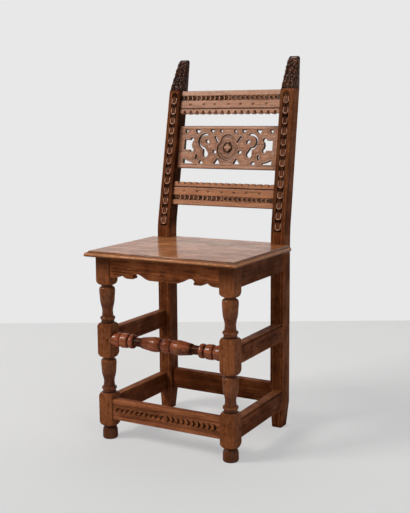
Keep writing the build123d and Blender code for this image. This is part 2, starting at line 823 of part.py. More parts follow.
# spandrels along the border: left, right, tip, depth
spandrels_top = ((17, 28, 22, 11), (43, 59, 49, 9), (87, 106, 99, 13), (128, pattern_end, 138, 12))
spandrels_low = ((21, 42, 30, 16), (72, 91, 85, 9.5))
corner_leaf = ((pattern_end, pattern_low + 14), (126, pattern_low + 6.5), (110, pattern_low + 3))
corner_foot = ((110, pattern_low + 3), (110, pattern_low), (pattern_end, pattern_low))
trefoil_left = 114
trefoil_height = 27.5
trefoil_middle = 6.8
trefoil_lobes = ((115.5, 20.5), (115, -7.5))
lobe_radius = 5.8
trefoil_bud = (110.5, trefoil_middle)
bud_radius = 5
scroll_centre = (72, 16.5)
scroll_start = -72
scroll_turn = 176
eye_centre = (64.5, 16)
eye_radii = (6.5, 4.3)
drop_centre = (69, -19)
drop_radius = 8.2
drop_stem = ((61.6, -15.4), (73.5, 0.8), (77.6, -1.4), (77, -17.6))
slit_centre = (36, 22)
slit_length = 16
bean_centre = (40, -12.5)
bean_radii = (6, 4.2)
tail_centre = (98.5, -27)
tail_length = 9
shield_edge = ((0, 35), (14, 31.5), (21, 23), (23, 13), (31, 6), (26.5, -21), (0, -36))

pierced_half = (along(pierced_top) - along(pierced_bottom)) / 2
pierced_middle = (along(pierced_top) + along(pierced_bottom)) / 2
pierced_plane = Plane(
    origin=raked_plane.from_local_coords((0, pierced_middle, -pierced_setback)),
    x_dir=raked_plane.x_dir,
    z_dir=raked_plane.z_dir,
)


def fitted(*places):
    """Places of the pattern, stretched to the board between its posts."""
    across = inner_x(pierced_middle) / pattern_length
    upward = pierced_half / pattern_height
    return [(x * across, y * upward) for x, y in places]


with BuildPart() as pierced_rail:
    with BuildSketch(raked_plane.offset(-pierced_setback)):
        Polygon(*rail_outline(along(pierced_bottom), along(pierced_top)), align=None)
    extrude(amount=-pierced_thickness)
    add(back_tenons("pierced_rail"))
    with BuildSketch(pierced_plane):
        for edge, way, spandrels in (
            (pattern_top, -1, spandrels_top),
            (pattern_low, 1, spandrels_low),
        ):
            for left, right, tip, deep in spandrels:
                corners = fitted((left, edge), (right, edge), (tip, edge + way * deep))
                Polygon(*corners, align=None)
        with BuildLine():
            ThreePointArc(*fitted(*corner_leaf))
            Polyline(fitted(*corner_foot, corner_leaf[0]))
        make_face()
        # trefoil opening at the end
        trefoil_low = trefoil_middle - trefoil_height / 2
        corners = fitted((trefoil_left, trefoil_low), (pattern_end, trefoil_low + trefoil_height))
        (left, low), (right, high) = corners
        with Locations(((left + right) / 2, (low + high) / 2)):
            Rectangle(right - left, high - low)
        with Locations(fitted(*trefoil_lobes)):
            Circle(lobe_radius)
        with Locations(fitted(trefoil_bud)):
            Circle(bud_radius, mode=Mode.SUBTRACT)
        # scroll: a curved slot that runs into a drop, and its eye
        centre = fitted(scroll_centre)[0]
        with BuildLine():
            outer = CenterArc(centre, scroll_radius + slot_width / 2, scroll_start, scroll_turn)
            inner = CenterArc(centre, scroll_radius - slot_width / 2, scroll_start, scroll_turn)
            for end, way in ((0, -1), (1, 1)):
                middle = (outer @ end + inner @ end) / 2
                cap = middle + (outer % end) * (way * slot_width / 2)
                ThreePointArc(outer @ end, cap, inner @ end)
        make_face()
        with Locations(fitted(eye_centre)):
            Ellipse(*eye_radii, rotation=30)
        with Locations(fitted(drop_centre)):
            Circle(drop_radius)
        Polygon(*fitted(*drop_stem), align=None)
        # small cuts round the shield and the scroll
        with Locations(Location(fitted(slit_centre)[0], 57)):
            SlotCenterToCenter(slit_length, slot_width)
        with Locations(fitted(bean_centre)):
            Ellipse(*bean_radii, rotation=20)
        with Locations(Location(fitted(tail_centre)[0], 100)):
            SlotCenterToCenter(tail_length, slot_width)
        mirror(about=Plane.YZ)
    extrude(amount=-pierced_thickness, mode=Mode.SUBTRACT)
    with BuildSketch(pierced_plane):
        with BuildLine():
            edge = fitted(*shield_edge)
            for start in range(0, len(edge) - 1, 2):
                ThreePointArc(*edge[start : start + 3])
            Line(edge[-1], edge[0])
        make_face()
        mirror(about=Plane.YZ)
        Rectangle(lozenge_side, lozenge_side, rotation=45, mode=Mode.SUBTRACT)
    extrude(amount=-shield_depth, mode=Mode.SUBTRACT)
    holes = both_sides([peg_hole(*spot) for spot in back_pegs["pierced_rail"]])
    add(holes, mode=Mode.SUBTRACT)

# ---- seat board: one board with ears in front of the posts and a moulded edge
ear_back = post_front - seat_notch_gap
notch_x = post_inner - seat_notch_gap
board_back = post_back - seat_back_setback
with BuildPart() as seat_board:
    with BuildSketch(Plane.XY.offset(seat_under)):
        with BuildLine():
            Polyline(
                (0, seat_front),
                (seat_half, seat_front),
                (seat_half, ear_back),
                (notch_x, ear_back),
                (notch_x, board_back),
                (0, board_back),
                close=True,
            )
        make_face()
        mirror(about=Plane.YZ)
    extrude(amount=seat_thickness)
    # the moulding planer runs round three edges: nosing, quirk, hollow and arris
    edge_start = (-seat_half, ear_back + seat_thickness)
    edge_plane = Plane(origin=(*edge_start, seat_under), x_dir=(1, 0, 0), z_dir=(0, -1, 0))
    with BuildLine(Plane.XY.offset(seat_under)) as edge_path:
        Polyline(
            edge_start,
            (-seat_half, seat_front),
            (seat_half, seat_front),
            (seat_half, ear_back + seat_thickness),
        )
    with BuildSketch(edge_plane):
        with BuildLine():
            hollow_low = nosing_height + quirk_height
            hollow_top = seat_thickness - arris_height
            middle = (
                quirk_inset + cove_out * (arris_inset - quirk_inset),
                hollow_low + cove_rise * (hollow_top - hollow_low),
            )
            outside = -arris_inset
            underside = (nosing_round, 0)
            ThreePointArc(underside, (0, nosing_height / 2), (quirk_inset, nosing_height))
            Line((quirk_inset, nosing_height), (quirk_inset, hollow_low))
            ThreePointArc((quirk_inset, hollow_low), middle, (arris_inset, hollow_top))
            Polyline(
                (arris_inset, hollow_top),
                (arris_inset, seat_thickness + overshoot),
                (outside, seat_thickness + overshoot),
                (outside, -overshoot),
                (nosing_round, -overshoot),
                underside,
            )
        make_face()
    sweep(path=edge_path.wires()[0], transition=Transition.RIGHT, mode=Mode.SUBTRACT)
    add(seat_holes, mode=Mode.SUBTRACT)

# ---- write one file for each piece and each joint's pegs
pieces = {
    "front_leg_left": front_leg_left.part,
    "front_leg_right": front_leg_right.part,
    "back_post_left": back_post_left.part,
    "back_post_right": back_post_right.part,
    "front_apron": front_apron.part,
    "turned_stretcher": turned_stretcher.part,
    "lower_front_stretcher": lower_front_stretcher.part,
    "pierced_rail": pierced_rail.part,
    "seat_board": seat_board.part,
}
pieces.update(side_parts)
pieces.update(rear_parts)
pieces.update(trimmed_parts)

peg_groups = {"seat_pegs": [peg(*spot) for spot in seat_pegs]}
for name, spots in side_pegs.items():
    right_pegs = [peg(*spot) for spot in spots]
    peg_groups[name + "_pegs_right"] = right_pegs
    peg_groups[name + "_pegs_left"] = [mirror(one, about=Plane.YZ) for one in right_pegs]
for name, spots in {**front_pegs, **rear_pegs, **back_pegs}.items():
    peg_groups[name + "_pegs"] = both_sides([peg(*spot) for spot in spots])
for name, sticks in peg_groups.items():
    with BuildPart() as group:
        add(sticks)
    pieces[name] = group.part

for name, piece in pieces.items():
    piece.label = name
    export_step(piece, f"parts/{name}.step")
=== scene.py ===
import math

import bmesh
import bpy
import numpy as np
from bpy.props import FloatProperty, FloatVectorProperty, IntProperty, PointerProperty
from mathutils import Matrix, Vector
from mathutils.kdtree import KDTree


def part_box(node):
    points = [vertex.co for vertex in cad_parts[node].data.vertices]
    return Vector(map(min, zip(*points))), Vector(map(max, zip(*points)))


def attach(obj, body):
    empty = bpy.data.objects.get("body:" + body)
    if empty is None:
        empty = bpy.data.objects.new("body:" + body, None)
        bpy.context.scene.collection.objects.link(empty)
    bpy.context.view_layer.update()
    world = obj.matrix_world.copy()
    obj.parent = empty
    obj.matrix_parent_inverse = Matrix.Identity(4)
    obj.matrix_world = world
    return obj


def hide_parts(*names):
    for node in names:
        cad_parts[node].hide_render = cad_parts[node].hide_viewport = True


bl_info = {
    "name": "Wainscot Chair",
    "version": (1, 0, 0),
    "blender": (4, 5, 0),
    "location": "View3D > Sidebar > Wainscot Chair",
    "description": "Carves, finishes and stages a joined wooden chair round its packed solids",
    "category": "Object",
}

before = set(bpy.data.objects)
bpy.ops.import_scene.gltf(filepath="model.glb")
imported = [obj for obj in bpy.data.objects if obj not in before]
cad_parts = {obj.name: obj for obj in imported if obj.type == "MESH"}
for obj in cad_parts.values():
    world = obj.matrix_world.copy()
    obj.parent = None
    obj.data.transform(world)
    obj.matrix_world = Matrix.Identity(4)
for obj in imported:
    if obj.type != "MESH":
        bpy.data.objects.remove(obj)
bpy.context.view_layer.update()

# ---- places shared by the pieces, in millimetres; the front faces -Y and Z is up
MM = 0.001
BODY = "root"
SIDES = (("right", 1), ("left", -1))
POST_LOW, POST_HIGH = (np.array(corner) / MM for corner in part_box("back_post_right"))
LEG_LOW, LEG_HIGH = (np.array(corner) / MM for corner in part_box("front_leg_right"))
APRON_LOW, APRON_HIGH = (np.array(corner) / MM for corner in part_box("front_apron"))
SEAT_HIGH = np.array(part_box("seat_board")[1]) / MM
LEG_X = (LEG_LOW[0] + LEG_HIGH[0]) / 2
LEG_Y = (LEG_LOW[1] + LEG_HIGH[1]) / 2

# the back posts: upright up to a bend over the seat, then raked back and leaning inwards
POST_FRONT = POST_LOW[1]
POST_TOP = POST_HIGH[2]
POST_OUTER = POST_HIGH[0]
POST_WIDTH = 40.0
POST_DEPTH = 42.0
POST_INNER = POST_OUTER - POST_WIDTH
KNEE = SEAT_HIGH[2] + 30.0
KNEE_RADIUS = 300.0
SLOPE = 0.177  # how far back for each millimetre up
RAKE = math.atan(SLOPE)
INNER_LEAN = 3.6
OUTER_LEAN = 5.6
FOOT_TAPER = 6.0
FOOT_TAPER_HEIGHT = 66.5
PANEL_MARGIN = 9.5
PANEL_HEAD = 4.0  # from the finial down to the round head of the sunk panel
PANEL_DEPTH = 3.0

# their finials
FINIAL_BASE = POST_TOP - 87.0
FINIAL_ALONG = (FINIAL_BASE - KNEE) / math.cos(RAKE)
FINIAL_SET_BACK = 24.0
FINIAL_CAP = 15.0
FINIAL_TAPER = 3.0

# the boards between the posts and legs
TUCK = 0.6  # how far a carved board runs into the post or leg at each of its ends
RAIL_SETBACK = 7.5
RAIL_THICKNESS = 20.0
GROOVE_DEPTH = 3.0
PIERCED_SETBACK = 14.5
PIERCED_TOP = 818.0
PIERCED_BOTTOM = 700.5
STRETCHER_FACE = LEG_LOW[1] + 3.0
STRETCHER_THICKNESS = 21.6
SPINDLE_HEIGHT = 269.6


def along(height):
    """Distance up the raked back from the knee for a height over the floor."""
    return (height - KNEE) / math.cos(RAKE)


def inner_x(distance):
    """Inner face of the right post, at a distance up from the knee."""
    return POST_INNER - INNER_LEAN * np.maximum(distance, 0) / FINIAL_ALONG


def outer_x(distance):
    """Outer face of the right post, at a distance up from the knee."""
    return POST_OUTER - OUTER_LEAN * np.maximum(distance, 0) / FINIAL_ALONG


# from a plane that faces up to the raked front of the back, and to the stretcher's upright one
RAKED_TURN = (math.pi / 2 - RAKE, 0, 0)
RAKED = Matrix.Translation((0, POST_FRONT * MM, KNEE * MM)) @ Matrix.Rotation(
    math.pi / 2 - RAKE, 4, "X")
UPRIGHT_TURN = (math.pi / 2, 0, 0)
FACING_FRONT = Matrix.Rotation(math.pi / 2, 4, "X")
UPRIGHT = Matrix.Translation((0, STRETCHER_FACE * MM, 0)) @ FACING_FRONT


# ---------------------------------------------------------------- settings
class ChairCarvingSettings(bpy.types.PropertyGroup):
    """Sizes of the carved work."""

    husk_pitch: FloatProperty(
        name="Husk pitch", description="Distance between the husks on the posts",
        default=0.0283, min=0.01, unit="LENGTH")
    husk_rise: FloatProperty(
        name="Husk rise", description="How far a husk's tip stands over its sunk ground",
        default=0.0038, min=0.0005, unit="LENGTH")
    husk_width: FloatProperty(
        name="Husk width", description="Width of a husk at its tip",
        default=0.0155, min=0.002, unit="LENGTH")
    husk_count: IntProperty(
        name="Husks", description="Husks on each post", default=13, min=1)
    gouge_pitch: FloatProperty(
        name="Gouge pitch", description="Distance between the gouged crescents of the back rails",
        default=0.0144, min=0.005, unit="LENGTH")
    gouge_rise: FloatProperty(
        name="Gouge rise", description="How far a crescent's ridge stands over its ground",
        default=0.0029, min=0.0005, unit="LENGTH")
    dot_radius: FloatProperty(
        name="Punch radius", description="Half height of the oval punches",
        default=0.0034, min=0.0005, unit="LENGTH")
    dot_depth: FloatProperty(
        name="Punch depth", description="Depth of the oval punches",
        default=0.0016, min=0.0005, unit="LENGTH")
    scallop_pitch: FloatProperty(
        name="Scallop pitch", description="Distance between the scooped notches",
        default=0.020, min=0.005, unit="LENGTH")
    unevenness: FloatProperty(
        name="Unevenness", description="Share by which hand-cut units differ from each other",
        default=0.06, min=0, max=0.5, subtype="FACTOR")
    seed: IntProperty(name="Seed", description="Seed of the differences between units", default=7)
    edge_round: FloatProperty(
        name="Edge wear", description="Radius of the worn edges",
        default=0.0014, min=0.0001, unit="LENGTH")
    voxel: FloatProperty(
        name="Carving grain", description="Mesh size of the pierced and shaped boards",
        default=0.00115, min=0.0005, unit="LENGTH")


class ChairFinishSettings(bpy.types.PropertyGroup):
    """Colours and sheen of the wood."""

    # the recess colour, also used for painted shade
    deep: FloatVectorProperty(
        name="Recesses", description="Colour of dirt and old wax in the recesses",
        default=(0.0075, 0.0032, 0.0020), size=3, min=0, max=1, subtype="COLOR")
    dark: FloatVectorProperty(
        name="Dark wood", description="Colour of the darker grain",
        default=(0.058, 0.0135, 0.0035), size=3, min=0, max=1, subtype="COLOR")
    middle: FloatVectorProperty(
        name="Wood", description="Main colour of the frame",
        default=(0.205, 0.055, 0.0165), size=3, min=0, max=1, subtype="COLOR")
    # the worn colour, also used for painted highlights
    worn: FloatVectorProperty(
        name="Worn wood", description="Colour where hands and polish have worn the wood",
        default=(0.42, 0.150, 0.058), size=3, min=0, max=1, subtype="COLOR")
    seat: FloatVectorProperty(
        name="Seat", description="Main colour of the seat board",
        default=(0.67, 0.262, 0.094), size=3, min=0, max=1, subtype="COLOR")
    seat_dark: FloatVectorProperty(
        name="Seat grain", description="Colour of the seat board's darker grain",
        default=(0.17, 0.055, 0.019), size=3, min=0, max=1, subtype="COLOR")
    nosing: FloatVectorProperty(
        name="Seat edge", description="Colour of the seat's moulded edge",
        default=(0.37, 0.130, 0.042), size=3, min=0, max=1, subtype="COLOR")
    nosing_dark: FloatVectorProperty(
        name="Seat edge grain", description="Darker colour of the seat's moulded edge",
        default=(0.22, 0.070, 0.022), size=3, min=0, max=1, subtype="COLOR")
    # the husks' rim colour, for rubbing and a painted highlight on the rims
    husk: FloatVectorProperty(
        name="Husks", description="Colour of the husks' rubbed rims",
        default=(0.72, 0.41, 0.28), size=3, min=0, max=1, subtype="COLOR")
    spindle: FloatVectorProperty(
        name="Turned stretcher", description="Main colour of the turned stretcher",
        default=(0.60, 0.145, 0.066), size=3, min=0, max=1, subtype="COLOR")
    stretcher: FloatVectorProperty(
        name="Front stretcher", description="Main colour of the lower front stretcher",
        default=(0.56, 0.185, 0.085), size=3, min=0, max=1, subtype="COLOR")
    # painted light: lighter than the frame's wood, to lift the apron out of the shade under the
    # seat; the husks share it
    front: FloatVectorProperty(
        name="Front apron", description="Main colour of the front apron and the husks",
        default=(0.47, 0.137, 0.047), size=3, min=0, max=1, subtype="COLOR")
    # also the colour of the painted highlight on the seat's nosing
    seat_worn: FloatVectorProperty(
        name="Worn seat", description="Colour of the seat board's paler streaks",
        default=(0.72, 0.36, 0.19), size=3, min=0, max=1, subtype="COLOR")
    # painted light: the back rails' colours are lighter than the frame's, where the raked back
    # catches the top light
    back: FloatVectorProperty(
        name="Back rails", description="Main colour of the faded back rails",
        default=(0.60, 0.280, 0.155), size=3, min=0, max=1, subtype="COLOR")
    back_dark: FloatVectorProperty(
        name="Back rails' grain", description="Colour of the back rails' darker grain",
        default=(0.34, 0.140, 0.070), size=3, min=0, max=1, subtype="COLOR")
    # also the colour of the painted highlight on the back rails' plain bands
    back_worn: FloatVectorProperty(
        name="Worn back rails", description="Colour of the back rails where they are rubbed",
        default=(0.62, 0.38, 0.27), size=3, min=0, max=1, subtype="COLOR")
    # painted light: lighter than the frame's wood, where the raked back catches the top light
    low_back: FloatVectorProperty(
        name="Lower back rail", description="Main colour of the lower back rail",
        default=(0.56, 0.220, 0.092), size=3, min=0, max=1, subtype="COLOR")
    # also the colour of the painted highlight on the lower back rail's plain band
    worn_low_back: FloatVectorProperty(
        name="Worn lower back rail", description="Colour of the lower back rail where rubbed",
        default=(0.60, 0.31, 0.18), size=3, min=0, max=1, subtype="COLOR")
    roughness: FloatProperty(
        name="Roughness", description="Roughness of the waxed wood",
        default=0.40, min=0, max=1, subtype="FACTOR")
    wax: FloatProperty(
        name="Wax", description="Weight of the wax coat on the turned work", default=0.5, min=0,
        max=1, subtype="FACTOR")


class ChairStageSettings(bpy.types.PropertyGroup):
    """Backdrop and light."""

    wall: FloatVectorProperty(
        name="Wall", description="Colour of the backdrop",
        default=(0.807, 0.807, 0.807), size=3, min=0, max=1, subtype="COLOR")
    floor: FloatVectorProperty(
        name="Floor", description="Colour of the floor",
        default=(0.745, 0.745, 0.745), size=3, min=0, max=1, subtype="COLOR")
    key: FloatProperty(
        name="Key light", description="Power of the main soft light", default=92.0, min=0,
        unit="POWER")
    fill: FloatProperty(
        name="Fill light", description="Power of the fill light", default=13.5, min=0,
        unit="POWER")
    top: FloatProperty(
        name="Top light", description="Power of the light over the chair", default=32.0, min=0,
        unit="POWER")
    world: FloatProperty(
        name="Room light", description="Strength of the even light all round",
        default=0.15, min=0, max=2)


# ---------------------------------------------------------------- node helpers
class Sock:
    """An output socket that takes part in Python expressions on values."""

    def __init__(self, tree, socket):
        self.tree = tree
        self.socket = socket

    def out(self, name):
        """Another output of the same node."""
        return Sock(self.tree, self.socket.node.outputs[name])

    def math(self, operation, *others):
        """A Math node with this socket as its first value."""
        values = dict(enumerate((self, *others)))
        return self.tree.add("ShaderNodeMath", {"operation": operation}, values)

    def between(self, low, high):
        """0 under low, 1 over high, and a smooth step between."""
        return self.tree.add("ShaderNodeMapRange", {"interpolation_type": "SMOOTHSTEP"},
                             {"Value": self, "From Min": low, "From Max": high})

    def __add__(self, other):
        return self.math("ADD", other)

    def __radd__(self, other):
        return self.math("ADD", other)

    def __sub__(self, other):
        return self.math("SUBTRACT", other)

    def __rsub__(self, other):
        return self.tree.add("ShaderNodeMath", {"operation": "SUBTRACT"}, {0: other, 1: self})

    def __mul__(self, other):
        return self.math("MULTIPLY", other)

    def __rmul__(self, other):
        return self.math("MULTIPLY", other)

    def __truediv__(self, other):
        return self.math("DIVIDE", other)

    def __pow__(self, other):
        return self.math("POWER", other)

    def __abs__(self):
        return self.math("ABSOLUTE")

    def most(self, other):
        """The larger of two values."""
        return self.math("MAXIMUM", other)

    def clamped(self):
        """The value kept from 0 to 1."""
        return self.tree.add("ShaderNodeClamp", {}, {"Value": self})


class Tree:
    """A node tree with one way to add any node."""

    @classmethod
    def of(cls, owner):
        """The emptied node tree of a material or a world."""
        owner.use_nodes = True
        owner.node_tree.nodes.clear()
        return cls(owner.node_tree)

    def __init__(self, tree):
        self.tree = tree

    def add(self, kind, settings=None, values=None):
        """Adds a node: its settings first, then its sockets' values or links."""
        node = self.tree.nodes.new(kind)
        for key, value in (settings or {}).items():
            setattr(node, key, value)
        for key, value in (values or {}).items():
            socket = node.inputs[key]
            if isinstance(value, Sock):
                self.tree.links.new(value.socket, socket)
            else:
                socket.default_value = value
        return Sock(self, node.outputs[0]) if node.outputs else node

    def blend(self, factor, first, second):
        """Two colours mixed by a factor."""
        node = self.add("ShaderNodeMix", {"data_type": "RGBA", "clamp_factor": True}).socket.node
        for index, value in ((0, factor), (6, first), (7, second)):
            socket = node.inputs[index]
            if isinstance(value, Sock):
                self.tree.links.new(value.socket, socket)
            elif index == 0:
                socket.default_value = value
            else:
                socket.default_value = (*value, 1)
        return Sock(self, node.outputs[2])

    def parts(self, vector):
        """The X, Y and Z of a vector."""
        split = self.add("ShaderNodeSeparateXYZ", {}, {0: vector})
        return split, split.out("Y"), split.out("Z")

    def noise(self, vector, scale, detail, roughness, distortion):
        """A noise in three dimensions."""
        values = {"Vector": vector, "Scale": scale, "Detail": detail, "Roughness": roughness,
                  "Distortion": distortion}
        return self.add("ShaderNodeTexNoise", {"noise_dimensions": "3D"}, values)

    def attribute(self, name):
        """A number stored on the mesh under a name; 0 where the mesh has none."""
        settings = {"attribute_name": name, "attribute_type": "GEOMETRY"}
        return self.add("ShaderNodeAttribute", settings).out("Fac")


# ---------------------------------------------------------------- wood finishes
GRAIN_TURN = {
    "up": (0.0, 0.0, 0.0),
    "raked": (RAKE, 0.0, 0.0),
    "across": (0.0, math.pi / 2, 0.0),
    "deep": (math.pi / 2, 0.0, 0.0),
}
# share of a noise's change that is left along the grain, which draws it out into streaks
FIGURE_STRETCH = 0.055
FIBRE_STRETCH = 0.03
# each noise of the wood: scale, detail, roughness, distortion, and where it starts and is full
GRAIN = {
    "figure": (62.0, 4.0, 0.55, 0.6, 0.30, 0.70),
    "fibre": (430.0, 3.0, 0.6, 0.0, 0.32, 0.70),
    "pores": (560.0, 2.0, 0.5, 0.0, 0.57, 0.68),
    "patina": (17.0, 4.0, 0.55, 0.0, 0.34, 0.68),
    "smudge": (95.0, 3.0, 0.6, 0.0, 0.42, 0.66),
    "mottle": (260.0, 3.0, 0.65, 0.0, 0.50, 0.70),
}
# how much of each colour comes over the wood where its noise or mark is full
WARM_SHARE = 0.42
UNWORN_SHARE = 0.50
MOTTLE_SHARE = 0.42
RUBBED_AND_LIT_SHARE = 0.85
PORE_SHARE = 0.55
SHADE_AND_DIRT_SHARE = 0.93
SPECULAR = 0.02
BUMP_STRENGTH = 0.32
BUMP_DISTANCE = 0.0007

# where a mark starts and where it is full: metres from a turned piece's axis, or up or across
SWELL = (0.0172, 0.0200)
LEG_NECK = (0.0172, 0.0192)
SPINDLE_NECK = (0.0140, 0.0166)
BLOCK_FACE = (0.0192, 0.0197)
BLOCK_CORNER = (0.0180, 0.0199)
TOP_BLOCK = (0.420, 0.480)
FOOT_TOP = (0.028, 0.044)
# where the right-hand post's painted highlight lies
LIT_POST_SIDE = (0.10, 0.14)
LIT_POST_HEIGHT = (0.58, 0.76)
# the same in millimetres: round a leg's throat, from a punched dot, down from the seat's top
THROAT_HALF = (1.4, 4.2)
PUNCH_RADIUS = (2.0, 3.8)
QUIRK_START, QUIRK_END = (0.8, 1.8), (3.2, 4.4)
EDGE_START = (3.0, 5.0)
NOSE_START, NOSE_END = (5.0, 6.5), (8.5, 11.0)
UNDER_START = (10.5, 13.0)
THROATS = (35.0, 125.5, 220.5, 312.5, 413.0)
PUNCH_PLACES = (-136, -97, -62, -27, 12, 46, 85)
PUNCH_SHIFT = 2.2
PUNCH_STRETCH = 0.75


def no_marks(x, y, z):
    """Painted shade with grime, rubbing with painted highlight, tint and wax of a piece that has
    none worked out from its place.
    """
    return 0.0, 0.0, 0.0, 1.0


def leg_marks(x, y, z):
    """Painted shade in a front leg's throats and on its top block under the seat, a darker foot,
    and its swells and block corners lightened by rubbing.
    """
    a = abs(x) - LEG_X * MM
    b = y - LEG_Y * MM
    reach = (a * a + b * b) ** 0.5
    swell = reach.between(*SWELL) * 0.45
    flat = abs(a).most(abs(b)).between(*BLOCK_FACE)
    corner = abs(a).between(*BLOCK_CORNER) * abs(b).between(*BLOCK_CORNER)
    # painted shade on the top block under the seat, and a darker foot
    shade = (z.between(*TOP_BLOCK) * 0.52).most((1 - z.between(*FOOT_TOP)) * 0.55)
    # painted shade in the throats between the turned parts
    for height in THROATS:
        near = abs(z / MM - height)
        shade = shade.most((1 - near.between(*THROAT_HALF)) * (1 - reach.between(*LEG_NECK)))
    return shade * 0.9, swell.most(corner * 0.85), 0.0, 1 - flat * 0.9


def spindle_marks(x, y, z):
    """Painted shade in the turned stretcher's necks, its swells lightened by rubbing, its wax
    thin in the necks.
    """
    a = y - LEG_Y * MM
    b = z - SPINDLE_HEIGHT * MM
    reach = (a * a + b * b) ** 0.5
    swell = reach.between(*SWELL) * 0.45
    body = reach.between(*SPINDLE_NECK)
    # painted shade in the necks
    return (1 - body) * 0.9, swell, 0.0, 0.15 + body * 0.60


def post_marks(x, y, z):
    """Painted highlight: the right-hand post is lighter above the seat than the left-hand one."""
    # painted highlight on the right-hand post's front above the seat
    rubbed_and_lit = x.between(*LIT_POST_SIDE) * z.between(*LIT_POST_HEIGHT)
    return 0.0, rubbed_and_lit * 0.55, 0.0, 1.0


def inset(edge, start, full):
    """Where a mark starts and where it is full, in millimetres in from an edge in metres."""
    return edge - start * MM, edge - full * MM


def rail_marks(outer, low, high):
    """Worn edges of a side rail, and its outer face's punched dots or its shade."""

    def marks(x, y, z):
        upper = z.between(*inset(high, 4.5, 0.5))
        lower = 1 - z.between(*inset(low, -0.5, -3.5))
        under_seat = high > LEG_HIGH[2] * MM - 0.01
        if under_seat:
            # painted shade under the seat's overhang on the side rails beneath it
            return 0.34, upper.most(lower) * 0.3, 0.0, 1.0
        face = abs(x).between(*inset(outer, 7.5, 5.5))
        start, full = (radius * MM for radius in PUNCH_RADIUS)
        punched = 0.0
        for number, place in enumerate(PUNCH_PLACES):
            shift = PUNCH_SHIFT * MM if number % 2 else -PUNCH_SHIFT * MM
            height = (low + high) / 2 + shift
            across = (y - place * MM) * PUNCH_STRETCH
            reach = (across * across + (z - height) * (z - height)) ** 0.5
            punched = (1 - reach.between(start, full)).most(punched)
        bead = z.between(*inset(high, 8.5, 7.0)) * (1 - z.between(*inset(high, 6.0, 4.5)))
        return face * punched.most(bead) * 0.85, upper.most(lower) * 0.6, 0.0, 1.0

    return marks


def seat_marks(x, y, z):
    """The seat's painted shade in its quirk and under its edge, a painted highlight on its nosing
    and the warmer colour of its edge.
    """
    down = (SEAT_HIGH[2] * MM - z) / MM
    # painted shade in the quirk and under the edge
    quirk = down.between(*QUIRK_START) * (1 - down.between(*QUIRK_END))
    underside = down.between(*UNDER_START)
    # painted highlight along the nosing
    worn = down.between(*NOSE_START) * (1 - down.between(*NOSE_END)) * 0.8
    edge = down.between(*EDGE_START)
    return quirk.most(underside) * 0.72, worn, edge, 1 - edge * 0.65


def wood(name, grain, finish, marks=no_marks, palette=None, gloss=0.0, wax=0.0, sheen=0.13):
    """A waxed wood whose grain runs one way, with painted shade and grime in its recesses, and
    rubbing and painted highlights on its edges.
    """
    colours = {"deep": finish.deep, "dark": finish.dark, "middle": finish.middle,
               "worn": finish.worn}
    colours.update(palette or {})
    material = bpy.data.materials.new(name)
    tree = Tree.of(material)

    def mapped(vector, **values):
        return tree.add("ShaderNodeMapping", {"vector_type": "POINT"},
                        {"Vector": vector, **values})

    def noise(kind, vector):
        *form, start, full = GRAIN[kind]
        return tree.noise(vector, *form).between(start, full)

    place = tree.add("ShaderNodeTexCoord").out("Object")
    x, y, z = tree.parts(place)
    turned = mapped(place, Rotation=GRAIN_TURN[grain])
    long = mapped(turned, Scale=(1.0, 1.0, FIGURE_STRETCH))
    fine = mapped(turned, Scale=(1.0, 1.0, FIBRE_STRETCH))
    figure = noise("figure", long)
    fibre = noise("fibre", fine)
    pores = noise("pores", fine)
    patina = noise("patina", turned)
    smudge = noise("smudge", turned)
    mottle = noise("mottle", turned)
    hollow = tree.attribute("hollow")
    wear = tree.attribute("wear")
    more_shade_and_dirt, more_wear_and_highlight, tint, waxed = marks(x, y, z)
    hollow = hollow.most(more_shade_and_dirt)
    wear = wear.most(more_wear_and_highlight)
    tone = tree.blend(figure * 0.65 + fibre * 0.35, colours["dark"], colours["middle"])
    warm = (fibre * 0.5 + patina * 0.5) ** 2.0
    tone = tree.blend(warm * WARM_SHARE, tone, colours["worn"])
    tone = tree.blend((1 - patina) * UNWORN_SHARE, tone, colours["dark"])
    tone = tree.blend(mottle * MOTTLE_SHARE, tone, colours["dark"])
    tone = tree.blend(tint, tone, tree.blend(fibre, finish.nosing_dark, finish.nosing))
    # rubbing and painted highlight: the wood lightens where it is rubbed and where light falls on
    # it
    rubbed_and_lit = (wear * (0.45 + 0.55 * smudge)).clamped()
    tone = tree.blend(rubbed_and_lit * RUBBED_AND_LIT_SHARE, tone, colours["worn"])
    tone = tree.blend(pores * PORE_SHARE, tone, colours["deep"])
    # painted shade and grime: the wood darkens to the recess colour where shade falls and where
    # grime sits
    shade_and_grime = (hollow * (0.80 + 0.35 * smudge)).clamped()
    tone = tree.blend(shade_and_grime * SHADE_AND_DIRT_SHARE, tone, colours["deep"])
    rough = finish.roughness - gloss + 0.16 * (1 - patina) + 0.20 * shade_and_grime - 0.07 * rubbed_and_lit
    height = fibre * 0.35 + figure * 0.25 + smudge * 0.35 - pores * 0.5
    bump = tree.add("ShaderNodeBump", {}, {
        "Strength": BUMP_STRENGTH, "Distance": BUMP_DISTANCE, "Height": height})
    shader = tree.add("ShaderNodeBsdfPrincipled", {}, {
        "Base Color": tone, "Roughness": rough.clamped(), "Normal": bump,
        "Coat Weight": (tree.attribute("gleam") + wax * waxed).clamped(),
        "Coat Roughness": sheen, "Specular IOR Level": SPECULAR,
    })
    tree.add("ShaderNodeOutputMaterial", {}, {"Surface": shader})
    return material


# ---------------------------------------------------------------- mesh helpers
def smooth(low, high, value):
    """0 below low, 1 above high, and a smooth step between."""
    t = np.clip((value - low) / (high - low), 0, 1)
    return t * t * (3 - 2 * t)


def ridge(value, place, width):
    """1 where a value is at a place, and falling off smoothly to 0 on both sides of it."""
    return np.exp(-(((value - place) / width) ** 2))


